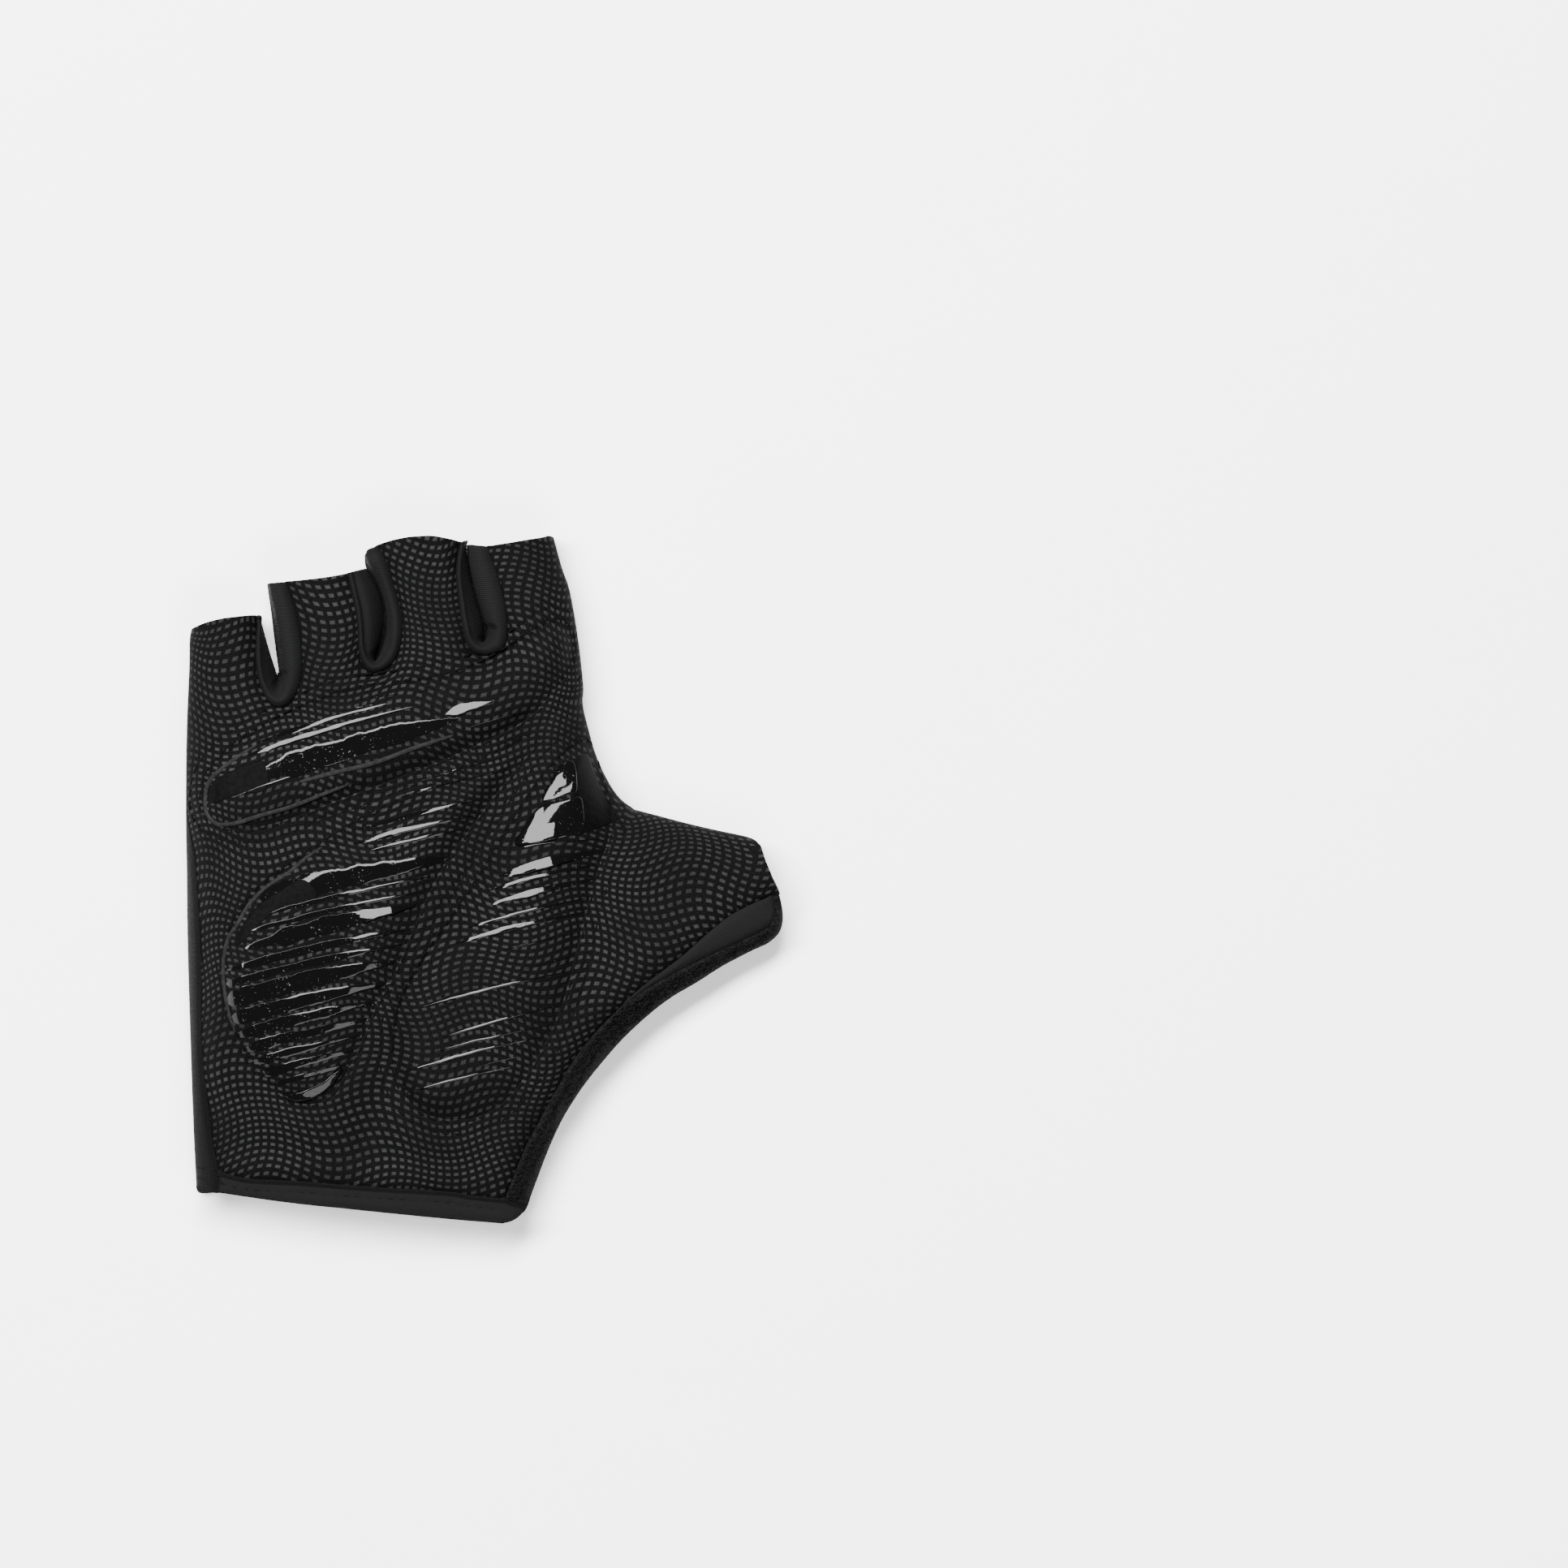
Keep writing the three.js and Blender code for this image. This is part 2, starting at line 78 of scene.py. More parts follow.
def smooth(points, step=STEP, ring=False):
    """Points at equal steps on a smooth curve through the given ones."""
    p = np.array(points, float)
    ends = (p[-1:], p[:2]) if ring else (2 * p[:1] - p[1:2], 2 * p[-1:] - p[-2:-1])
    p = np.vstack([ends[0], p, ends[1]])
    t = np.linspace(0, 1, 16, endpoint=False)[:, None]
    spans = []
    for a, b, c, d in zip(p, p[1:], p[2:], p[3:]):
        spans.append(b + 0.5 * t * (c - a + t * (2 * a - 5 * b + 4 * c - d + t * (3 * b - a - 3 * c + d))))
    fine = np.vstack(spans + [p[-2:-1]])
    along = lengths(fine)
    count = max(2, round(along[-1] / step))
    at = np.linspace(0, along[-1], count + 1)
    out = places(fine, along, at)
    return out[:-1] if ring else out


def nearest(points, lines):
    """Distance from each point to the nearest of some fine lines, and the direction to that place."""
    spots, before, after = [], [], []
    count = 0
    for line in lines:
        ring = np.allclose(line[0], line[-1])
        line = line[:-1] if ring else line
        index = np.arange(len(line))
        spots.append(line)
        before.append(count + (np.roll(index, 1) if ring else np.maximum(index - 1, 0)))
        after.append(count + (np.roll(index, -1) if ring else np.minimum(index + 1, len(line) - 1)))
        count += len(line)
    spots, before, after = np.vstack(spots), np.concatenate(before), np.concatenate(after)
    tree = KDTree(count)
    for index, (x, y) in enumerate(spots.tolist()):
        tree.insert((x, y, 0.0), index)
    tree.balance()
    found = np.fromiter((tree.find((x, y, 0.0))[1] for x, y in points.tolist()), int, len(points))
    first, second = (to_span(points, spots[found], spots[other[found]]) for other in (before, after))
    gap = np.where((np.linalg.norm(first, axis=1) < np.linalg.norm(second, axis=1))[:, None], first, second)
    length = np.linalg.norm(gap, axis=1)
    return length, gap / np.maximum(length, 1e-9)[:, None]


def to_span(points, a, b):
    """The way from each point to the nearest place on a straight span."""
    run = b - a
    t = ((points - a) * run).sum(-1) / np.maximum((run ** 2).sum(-1), 1e-12)
    return a + np.clip(t, 0, 1)[:, None] * run - points


def inside(points, loop):
    """Which points lie inside a closed loop."""
    found = np.zeros(len(points), bool)
    x, y = points[:, 0], points[:, 1]
    for (ax, ay), (bx, by) in zip(loop, np.roll(loop, -1, axis=0)):
        if ay == by:
            continue
        crosses = (ay > y) != (by > y)
        found ^= crosses & (x < (bx - ax) * (y - ay) / (by - ay) + ax)
    return found


def offset(loop, away):
    """The loop moved outward, with its tight corners evened out."""
    run = np.roll(loop, -1, axis=0) - np.roll(loop, 1, axis=0)
    normal = right_of(run)
    if inside(loop + 0.05 * normal, loop).mean() > 0.5:
        normal = -normal
    moved = loop + away * normal
    return moved[nearest(moved, [closed(loop)])[0] > 0.97 * away]


def picture(x, y):
    """A place read off the picture, in millimetres."""
    return np.stack([(np.asarray(x) - PICTURE_ORIGIN[0]) * PICTURE_STEP,
                     (PICTURE_ORIGIN[1] - np.asarray(y)) * PICTURE_STEP], axis=-1)


def closed(line):
    return np.vstack([line, line[:1]])


def chain(*lines):
    """One loop from lines that follow each other, without the doubled corners."""
    loop = np.vstack(lines)
    keep = np.linalg.norm(loop - np.roll(loop, 1, axis=0), axis=1) > 1e-3
    return loop[keep]


# The outline seen from above, as x, y

ulnar_side = smooth([(-69.3, -73.2), (-69.6, -67.4), (-70.2, -53.8), (-71.3, -18.9), (-71.6, 2.0),
                     (-71.8, 17.6), (-71.6, 36.1), (-71.0, 51.1), (-70.9, 57.6), (-70.4, 60.3)])
little_mouth = smooth([(-70.4, 60.3), (-66.7, 61.8), (-61.9, 62.9), (-57.0, 63.3), (-54.6, 63.2),
                       (-53.8, 62.6)])
ring_mouth = smooth([(-52.3, 71.1), (-44.1, 71.9), (-37.6, 72.7), (-32.8, 73.6), (-28.5, 74.8)])
middle_mouth = smooth([(-28.9, 77.8), (-28.4, 78.8), (-26.1, 80.1), (-22.5, 81.4), (-18.1, 82.3),
                       (-14.5, 82.5), (-10.9, 82.3), (-7.3, 81.6), (-4.2, 80.6)])
index_mouth = smooth([(-3.9, 79.7), (-0.5, 79.9), (6.0, 80.9), (12.0, 81.9), (16.2, 82.5), (16.6, 82.3)])
index_side = smooth([(16.6, 82.3), (18.6, 75.0), (20.5, 69.3), (22.4, 58.4), (23.7, 46.9), (23.6, 42.2),
                     (24.9, 36.5), (26.7, 30.2), (29.3, 24.4), (32.0, 20.2), (35.5, 17.0)])
thumb_top = smooth([(35.5, 17.0), (39.9, 15.9), (48.6, 13.6), (55.5, 12.0), (62.5, 10.5), (64.8, 9.7)])
thumb_mouth = smooth([(64.8, 9.7), (66.0, 8.5), (67.4, 5.0), (69.5, -0.2), (70.9, -4.0), (71.6, -7.2)])
radial_edge = smooth([(71.6, -7.2), (71.7, -9.6), (71.1, -12.2), (69.7, -14.0), (67.7, -15.5),
                      (64.2, -17.1), (57.3, -20.7), (51.3, -24.5), (43.3, -29.4), (35.0, -36.5),
                      (28.5, -43.6), (23.0, -50.7), (18.6, -57.8), (15.3, -65.0), (12.6, -72.1),
                      (11.0, -76.4)])
hem_corner = smooth([(11.0, -76.4), (10.4, -78.2), (9.3, -79.9), (7.1, -81.7), (4.4, -82.5)])
wrist_hem = smooth([(4.4, -82.5), (-8.8, -81.4), (-30.6, -79.2), (-47.6, -77.4), (-63.2, -75.2),
                    (-67.3, -74.9), (-68.6, -74.6), (-69.2, -74.0), (-69.3, -73.2)])

# Seams of the palm side

strip_seam = smooth([(-63.8, -75.1), (-63.8, -69.8), (-65.3, -62.5), (-66.5, -53.8), (-67.9, -40.0),
                     (-68.1, -18.7), (-69.3, 2.0), (-70.5, 9.8), (-71.7, 16.4)])
hem_seam = smooth([(-63.8, -69.8), (-59.9, -71.2), (-54.1, -72.0), (-44.5, -72.4), (-34.7, -73.2),
                   (-25.0, -73.9), (-8.8, -74.9), (-3.3, -75.8), (5.0, -76.7)])
terry_seam = smooth([(4.4, -82.4), (5.0, -76.7), (9.9, -64.4), (13.2, -58.3), (17.0, -51.3), (21.4, -43.7),
                     (26.8, -36.5), (33.5, -29.8)])
wedge_upper = smooth([(33.5, -29.8), (36.7, -26.9), (39.8, -24.3), (46.8, -18.9), (53.8, -12.7),
                      (59.0, -8.6), (64.2, -5.8), (69.0, -3.9)])
wedge_lower = smooth([(33.5, -29.8), (39.8, -25.7), (46.8, -21.8), (53.8, -18.3), (60.8, -15.2),
                      (64.2, -13.5), (67.8, -11.6), (69.3, -9.6), (69.7, -7.0)])
wedge_end = smooth([(69.0, -3.9), (69.5, -5.4), (69.7, -7.0)])
hem_end = smooth([(5.0, -76.7), (7.6, -77.6), (10.3, -78.3)])
back_seam = smooth([(0.5, -82.1), (3.0, -70.0), (10.0, -44.0), (18.0, -20.0), (25.0, 2.0), (33.6, 18.6)])

# The knit pieces between the fingers: x, y on the outer seam, x, y on the crease beside it, and the
# width of the rolled edge there

GUSSETS = {
    "finger_gusset_1": [
        (-54.3, 63.1, -53.8, 62.6, 1.0), (-54.6, 58.0, -52.7, 58.4, 1.1), (-54.6, 53.5, -51.5, 54.2, 1.2),
        (-54.2, 49.5, -50.4, 50.8, 1.3), (-53.3, 46.2, -49.95, 49.4, 1.6), (-51.8, 43.2, -49.75, 48.9, 2.2),
        (-49.6, 41.7, -49.6, 48.7, 2.8), (-47.2, 42.3, -49.45, 48.9, 3.4), (-45.2, 45.2, -49.4, 49.5, 4.0),
        (-44.1, 49.5, -49.6, 51.0, 4.4), (-44.0, 54.5, -50.2, 55.3, 4.8), (-44.6, 59.5, -50.8, 60.0, 4.8),
        (-45.9, 65.6, -51.5, 65.6, 4.6), (-48.0, 71.5, -52.3, 71.1, 3.8)],
    "finger_gusset_2": [
        (-32.6, 73.7, -28.5, 74.8, 1.0), (-31.6, 69.0, -25.7, 71.0, 1.2), (-30.6, 64.5, -24.35, 67.0, 1.2),
        (-30.1, 60.0, -24.0, 62.8, 1.2), (-29.9, 55.6, -24.5, 58.6, 1.4), (-29.1, 52.4, -25.5, 55.0, 1.8),
        (-27.4, 50.3, -26.1, 53.2, 2.2), (-25.2, 50.1, -26.0, 53.2, 2.5), (-22.8, 51.5, -25.4, 55.0, 2.9),
        (-21.0, 54.2, -24.4, 58.6, 3.2), (-20.0, 58.5, -23.95, 61.3, 3.3), (-19.9, 62.5, -24.0, 64.2, 3.3),
        (-20.7, 66.6, -24.72, 68.2, 3.3), (-22.0, 71.0, -26.48, 72.1, 3.4),
        (-23.4, 75.6, -28.47, 74.85, 3.8), (-25.8, 80.2, -28.9, 77.8, 3.4)],
    "finger_gusset_3": [
        (-5.7, 81.1, -4.3, 80.6, 1.0), (-6.4, 76.5, -4.2, 77.0, 1.3), (-6.5, 72.2, -3.4, 73.0, 1.4),
        (-5.9, 67.0, -1.95, 68.0, 1.5), (-5.1, 61.5, -0.4, 63.0, 1.6), (-4.0, 57.0, 0.1, 60.0, 1.9),
        (-2.2, 54.8, -0.15, 57.6, 2.4), (0.3, 54.1, -0.1, 57.4, 3.0), (2.8, 54.6, -0.05, 57.9, 3.4),
        (4.6, 56.0, 0.1, 60.0, 4.0), (5.3, 59.5, -0.3, 61.8, 4.6), (5.0, 64.8, -1.25, 65.0, 5.2),
        (3.9, 69.8, -2.45, 69.4, 5.6), (2.7, 74.2, -3.56, 74.0, 5.6), (1.6, 77.0, -4.18, 77.05, 4.9),
        (0.4, 80.1, -4.27, 80.5, 4.0)],
}
ROLL_BULGE = 0.9        # how far the rolled edge stands over the seam beside it
LEFT_WALL = {"finger_gusset_1": 1.3, "finger_gusset_2": 2.6, "finger_gusset_3": 1.5}
GUSSET_DIMPLES = [(1.6, 60.6, 1.5, 0.8, -20, 2.6), (-48.6, 49.3, 1.3, 0.7, 20, 1.6)]

# How high the palm side stands and how wide its rounded edge is there: x, y, height, roll

HEIGHTS = np.array([
    (-60, -76, 14.0, 10), (-30, -79, 15.0, 12), (4, -80, 13.0, 8), (-30, -50, 18.8, 14), (8, -50, 17.8, 13),
    (-45, -15, 20.6, 15), (5, -15, 20.4, 15), (-45, 15, 20.0, 15), (5, 15, 19.6, 14), (-45, 38, 17.4, 12),
    (-10, 42, 17.8, 12), (14, 50, 16.4, 10), (-61, 50, 14.2, 8.5), (-62, 62, 13.0, 8), (-38, 60, 14.6, 8.5),
    (-40, 73, 13.4, 8), (-12, 66, 15.0, 8.5), (-15, 81, 13.6, 8), (11, 68, 14.4, 8.5), (8, 81, 13.2, 8),
    (30, -10, 16.8, 12), (45, -6, 15.0, 11), (58, -4, 13.8, 10), (68, -3, 12.4, 8.5), (38, -30, 14.6, 9),
])
HEIGHT_REACH = 13.0

# The three raised pads, as closed outlines

METACARPAL = [(-67.4, 19.5), (-66.3, 25.0), (-62.0, 30.2), (-55.0, 35.4), (-45.8, 40.2), (-33.0, 45.0),
              (-16.6, 47.4), (-7.2, 49.2), (1.2, 52.6), (9.2, 57.6), (15.2, 61.6), (19.0, 61.4),
              (21.0, 57.6), (20.6, 51.4), (16.6, 45.6), (9.6, 38.4), (-1.4, 32.8), (-11.9, 28.2),
              (-24.8, 23.2), (-36.5, 18.8), (-48.2, 14.4), (-57.5, 12.4), (-64.0, 13.6), (-67.0, 16.2)]
ULNAR = [(-38.4, 8.4), (-46.5, 3.2), (-53.8, -2.4), (-58.6, -8.4), (-61.6, -15.6), (-62.4, -22.6),
         (-61.6, -30.4), (-58.6, -38.6), (-54.6, -45.6), (-49.2, -50.8), (-43.6, -53.6), (-38.0, -52.2),
         (-33.4, -46.4), (-29.6, -38.6), (-26.2, -30.2), (-22.2, -23.4), (-18.4, -14.4), (-14.0, -4.4),
         (-9.4, 4.4), (-3.6, 12.4), (2.4, 20.4), (8.6, 28.2), (12.6, 33.2), (10.4, 34.2), (0.6, 28.8),
         (-13.1, 21.8), (-27.0, 15.4)]
THENAR = [(23.6, 33.2), (19.6, 30.4), (15.4, 25.7), (9.9, 17.9), (4.5, 9.4), (-1.0, 0.0), (-8.0, -10.1),
          (-15.0, -20.3), (-19.7, -29.6), (-21.2, -38.2), (-21.0, -46.0), (-17.8, -53.0), (-11.4, -56.8),
          (-3.4, -57.0), (4.0, -53.6), (9.8, -46.8), (14.6, -38.8), (18.6, -29.4), (21.6, -18.4),
          (24.2, -7.4), (26.8, 1.8), (29.6, 10.0), (30.0, 17.0), (27.4, 25.0), (25.6, 31.0)]

# For each: its rise, the width of its rounded left side at the spine's start and end and of its
# right side, its spine, and the line from where it is thin to where it is full

PADS = {
    "metacarpal_pad": {"edge": METACARPAL, "rise": 2.2, "roll": (5.5, 5.5, 8), "spine": (-60, 22, 15, 55),
                       "thin": (-67, 19), "full": (-50, 27)},
    "ulnar_pad": {"edge": ULNAR, "rise": 2.4, "roll": (6, 6, 12), "spine": (-52, -52, 4, 30),
                  "thin": (-59, 0), "full": (-45, -14)},
    "thenar_pad": {"edge": THENAR, "rise": 3.2, "roll": (6, 14, 13), "spine": (-5, -50, 22, 28),
                   "thin": (28, 42), "full": (20, 28)},
}
GROOVE_DEPTH = 0.42     # how deep the stitching pulls the suede in
GROOVE_WIDTH = 1.4
PAD_SINK = 1.4          # how far the palm panel lies under a pad

# Grip print, in picture steps of 0.195 mm: x, y of the left end, x, y of the right end, width, how
# blunt each end is, where along it the upper side slopes to the light, and that side's width in mm

PICTURE_STEP = 0.195
PICTURE_ORIGIN = (597, 1084)
STRIPES = {
    "metacarpal_pad": [
        (421, 876, 480, 866, 3.2, 0.2, 0.1, 0.0, 1.0, 0.7),
        (434, 865, 494, 855, 4.0, 0.2, 0.1, 0.0, 0.9, 0.7),
        (506, 856, 540, 849, 2.6, 0.2, 0.1, 0.0, 1.0, 0.5),
        (316, 916, 478, 867, 6.0, 0.2, 0.1, 0.0, 1.0, 0.9),
        (306, 931, 510, 871, 7.0, 0.3, 0.1, 0.0, 0.95, 1.0),
        (318, 956, 566, 886, 30, 0.5, 0.2, 0.12, 0.82, 0.35),
        (292, 981, 456, 930, 3.0, 0.2, 0.1, 0.05, 0.6, 0.5),
        (412, 934, 458, 924, 2.4, 0.2, 0.2, 0.0, 1.0, 0.4),
        (550, 881, 608, 865, 14, 0.8, 0.7, 0.0, 1.0, 2.6),
        (580, 896, 654, 877, 3.2, 0.1, 0.1, 0.1, 0.4, 0.5)],
    "ulnar_pad": [
        (520, 962, 632, 931, 3.4, 0.1, 0.1, 0.0, 0.6, 0.5),
        (496, 980, 634, 948, 2.6, 0.1, 0.1, 0.0, 0.4, 0.4),
        (444, 1022, 590, 986, 6.0, 0.1, 0.1, 0.0, 0.65, 0.9),
        (436, 1040, 584, 1005, 8.0, 0.1, 0.1, 0.0, 0.68, 1.2),
        (455, 1049, 570, 1022, 6.5, 0.1, 0.1, 0.0, 0.6, 1.0),
        (322, 1106, 560, 1056, 26, 0.9, 0.2, 0.25, 0.85, 0.4),
        (330, 1126, 537, 1079, 5.0, 0.5, 0.1, 0.5, 0.85, 0.5),
        (312, 1146, 524, 1098, 6.0, 0.6, 0.1, 0.6, 0.88, 0.5),
        (304, 1168, 520, 1114, 21, 0.2, 0.2, 0.69, 0.88, 3.0),
        (281, 1195, 512, 1143, 10, 0.4, 0.1, 0.72, 0.84, 0.7),
        (280, 1212, 503, 1162, 9.0, 0.9, 0.2, 0.7, 0.9, 0.4),
        (281, 1233, 494, 1183, 21, 0.9, 0.2, 0.65, 0.9, 0.2),
        (286, 1256, 484, 1210, 18, 0.9, 0.2, 0.4, 0.9, 0.3),
        (292, 1276, 474, 1232, 15, 0.8, 0.2, 0.45, 0.9, 0.3),
        (300, 1294, 462, 1254, 13, 0.8, 0.1, 0.1, 0.25, 0.1),
        (311, 1309, 452, 1274, 11, 0.8, 0.1, 0.1, 0.85, 0.15),
        (324, 1323, 441, 1293, 13, 0.9, 0.2, 0.1, 0.6, 0.1),
        (338, 1336, 433, 1311, 9.0, 0.8, 0.2, 0.3, 0.6, 0.1)],
    "thenar_pad": [
        (640, 1044, 740, 1034, 3.4, 0.1, 0.2, 0.1, 0.6, 0.4),
        (616, 1080, 752, 1046, 16, 0.3, 0.3, 0.0, 0.62, 3.0),
        (602, 1097, 740, 1064, 7.5, 0.2, 0.1, 0.0, 0.66, 1.3),
        (606, 1114, 736, 1082, 12, 0.3, 0.1, 0.0, 0.6, 1.8),
        (575, 1143, 730, 1105, 4.6, 0.1, 0.1, 0.05, 0.7, 0.7),
        (562, 1162, 724, 1123, 8.0, 0.1, 0.1, 0.0, 0.72, 1.3),
        (612, 1173, 718, 1148, 3.4, 0.1, 0.1, 0.1, 0.6, 0.4),
        (646, 1194, 712, 1177, 3.0, 0.1, 0.1, 0.1, 0.5, 0.4),
        (522, 1240, 704, 1196, 4.2, 0.1, 0.1, 0.0, 1.0, 0.7),
        (546, 1278, 690, 1238, 4.4, 0.1, 0.1, 0.0, 0.75, 0.7),
        (536, 1296, 680, 1262, 3.6, 0.1, 0.1, 0.1, 0.8, 0.6),
        (500, 1320, 668, 1277, 4.6, 0.1, 0.1, 0.0, 0.75, 0.8),
        (580, 1316, 640, 1301, 3.0, 0.1, 0.1, 0.2, 0.7, 0.5),
        (498, 1347, 630, 1314, 4.2, 0.1, 0.1, 0.0, 0.7, 0.7)],
}
LIT_SLOPE = 0.27        # slope of a stripe's upper side where it catches the light

# Films of the print, as closed outlines read off the picture

FILMS = {
    "ulnar_corner": [(376, 1082), (346, 1096), (322, 1113), (303, 1136), (290, 1162), (302, 1160),
                     (318, 1142), (344, 1122), (392, 1106)],
    "ulnar_foot": [(350, 1348), (374, 1343), (398, 1333), (412, 1321), (424, 1315), (416, 1330),
                   (400, 1346), (380, 1356), (362, 1357)],
    "thenar_top": [(679, 962), (686, 948), (696, 939), (706, 937), (711, 950), (712, 973), (704, 978),
                   (669, 988)],
    "thenar_body": [(667, 993), (704, 984), (716, 982), (720, 996), (719, 1022), (700, 1031),
                    (637, 1042), (650, 1014)],
    "thenar_side": [(700, 945), (710, 934), (724, 930), (732, 950), (742, 975), (758, 1000), (760, 1011),
                    (722, 1026), (706, 1026), (704, 984)],
    "metacarpal_end": [(258, 985), (261, 968), (276, 955), (326, 938), (330, 972), (292, 980), (266, 990)],
}
WORN_FILMS = ("ulnar_corner", "thenar_side", "metacarpal_end")

# Where a film lies in a flat that faces a lamp: a picture spot on it, its bearing, its slope and
# the picture x where it ends

FACETS = {"thenar_top": (684, 970, 122, 0.27, 698), "thenar_body": (664, 1016, 122, 0.27, 688),
          "ulnar_foot": (384, 1340, 295, 0.38, 430)}
FACET_RISE = 0.7        # the most that a flat stands over the rest of its film
FACET_LIFT = 0.28       # how far a flat stands over the pad at its spot

# Raised rims of the print, as lines read off the picture

RIMS = [
    [(318, 918), (296, 932), (277, 946), (264, 958), (257, 970), (255, 985), (256, 999), (262, 1010),
     (273, 1016), (296, 1013), (324, 1004), (359, 994), (400, 978), (432, 966)],
    [(369, 964), (414, 952), (463, 940), (508, 923), (560, 906)],
    [(399, 1043), (380, 1056), (359, 1074), (337, 1088), (321, 1101), (307, 1117), (295, 1138),
     (284, 1155), (279, 1173), (277, 1197), (280, 1227), (285, 1251), (292, 1272)],
]
RIM_WIDTH = 1.2

# Stitched lines: the pad, and the distance outside its outline

STITCH_LINES = [("metacarpal_pad", 0.8), ("metacarpal_pad", 3.4), ("ulnar_pad", 0.8), ("thenar_pad", 0.8),
                ("thenar_pad", 3.6)]
OWN_GROOVE = 1.0        # a line further out than this lies in a groove of its own
STITCH_LENGTH = 2.1
STITCH_PITCH = 3.0
STITCH_RADIUS = 0.3

# Folds and hollows of the palm side: a line from x, y to x, y, its half width and its height

FOLDS = [
    (9, 30, -27, -60, 6.0, -2.0), (-40, 11, 12, 38, 4.0, -0.9), (-64, 6, 8, 33, 5.5, -1.0),
    (27, 16, 24, -44, 5.0, -0.7),
    (34, 12, 64, -7, 7.5, -0.5), (40, -16, 20, -46, 6.0, 0.7), (-60, -64, -4, -69, 4.0, -0.7),
    (-24, -66, -30, -56, 5.0, -0.9), (-69, -46, -66, -12, 3.0, -0.5), (-18, 52, -22, 78, 2.6, 0.5),
    (-13, 80, -9, 62, 2.2, -0.6), (-38, 50, -36, 72, 5.0, 0.4), (-6, 52, -14, 60, 2.6, -0.5),
]


gussets = {name: smooth(rows, 0.35) for name, rows in GUSSETS.items()}
creases = {name: rows[:, 2:4] for name, rows in gussets.items()}
pad_edges = {name: smooth(pad["edge"], ring=True) for name, pad in PADS.items()}

SEWN = [ulnar_side, index_side, thumb_top, radial_edge, *creases.values()]


def shape_of(points):
    """The crown height and the width of the rounded edge at each point."""
    gap = ((points[:, None, :] - HEIGHTS[None, :, :2]) ** 2).sum(2)
    weight = np.exp(-gap / (2 * HEIGHT_REACH ** 2)) + 1e-9
    weight /= weight.sum(1, keepdims=True)
    return weight @ HEIGHTS[:, 2], weight @ HEIGHTS[:, 3]


def rounded(distance, roll):
    """From 0 at an edge to 1 where the rounding ends."""
    t = 1 - np.clip(distance / roll, 0, 1)
    return np.sqrt(1 - t * t)


def swell(distance, roll):
    """From 0 at an edge, evenly rounded, to 1."""
    return 1 - (1 - np.clip(distance / roll, 0, 1)) ** 2


def folds(points):
    total = np.zeros(len(points))
    for ax, ay, bx, by, width, height in FOLDS:
        distance = np.linalg.norm(to_span(points, np.array([ax, ay]), np.array([bx, by])), axis=1)
        total += height * np.exp(-(distance / width) ** 2)
    return total


def palm_z(points):
    """Height of the palm side, without pads."""
    crown, roll = shape_of(points)
    distance, _ = nearest(points, SEWN)
    share = rounded(distance, roll)
    return SEAM_Z + (crown - SEAM_Z) * share + folds(points) * share


def grooved(points):
    """How far the stitching round the pads pulls the palm panel down, and its sink under them."""
    sink = np.zeros(len(points))
    for name, away in STITCH_LINES:
        if away > OWN_GROOVE:
            distance, _ = nearest(points, [closed(offset(pad_edges[name], away))])
            sink += 0.4 * np.exp(-(distance / 0.7) ** 2)
    for loop in pad_edges.values():
        distance, _ = nearest(points, [closed(loop)])
        within = inside(points, loop)
        sink += GROOVE_DEPTH * np.exp(-(distance / GROOVE_WIDTH) ** 2) * ~within
        sink += (GROOVE_DEPTH + PAD_SINK * np.clip(distance / 1.2, 0, 1)) * within
    return sink


def panel_z(points):
    return palm_z(points) - grooved(points)


def pad_z(name):
    """Height of one pad's cover."""
    pad, loop = PADS[name], pad_edges[name]

    def height(points):
        distance, _ = nearest(points, [closed(loop)])
        low = palm_z(points) - GROOVE_DEPTH * np.exp(-(distance / GROOVE_WIDTH) ** 2)
        foot = distance - 0.8 * (1 - np.exp(-distance / 0.8))
        thin, full = np.array(pad["thin"], float), np.array(pad["full"], float)
        way = np.clip((points - thin) @ (full - thin) / ((full - thin) ** 2).sum(), 0, 1)
        share = 0.35 + 0.65 * way * way * (3 - 2 * way)
        start, end = np.array(pad["spine"], float).reshape(2, 2)
        right = np.cross(points - start, end - start) / np.linalg.norm(end - start)
        along = np.clip((points - start) @ (end - start) / ((end - start) ** 2).sum(), 0, 1) ** 2
        first, last, far = pad["roll"]
        near = first + (last - first) * along
        reach = near + (far - near) * np.clip(0.5 + right / 12, 0, 1)
        crown, roll = shape_of(points)
        edge, _ = nearest(points, SEWN)
        top = SEAM_Z + (crown - SEAM_Z) * rounded(1.6 * edge, roll) + 0.6 * folds(points) + pad["rise"]
        return low + (top - low) * share * swell(foot, reach - 0.8)
    return height


def top_z(points):
    """Height of whatever lies on top: a pad, or the palm panel."""
    z = panel_z(points)
    for name, loop in pad_edges.items():
        within = inside(points, loop)
        if within.any():
            z[within] = pad_z(name)(points[within])
    return z


def under_z(points):
    """Height of the cloth under the hand."""
    distance, _ = nearest(points, SEWN)
    return REST_GAP + (SEAM_Z - REST_GAP) * (1 - rounded(distance, FLOOR_ROLL))


def cloth_uv(points):
    """Plan coordinates, drawn out where the cloth rolls down at an edge, in millimetres."""
    crown, roll = shape_of(points)
    distance, direction = nearest(points, SEWN)
    arc = math.pi / 2 * np.sqrt((roll ** 2 + (crown - SEAM_Z) ** 2) / 2)
    excess = (arc - roll) * (1 - np.clip(distance / roll, 0, 1)) ** 2
    return points + direction * excess[:, None]


# Meshes

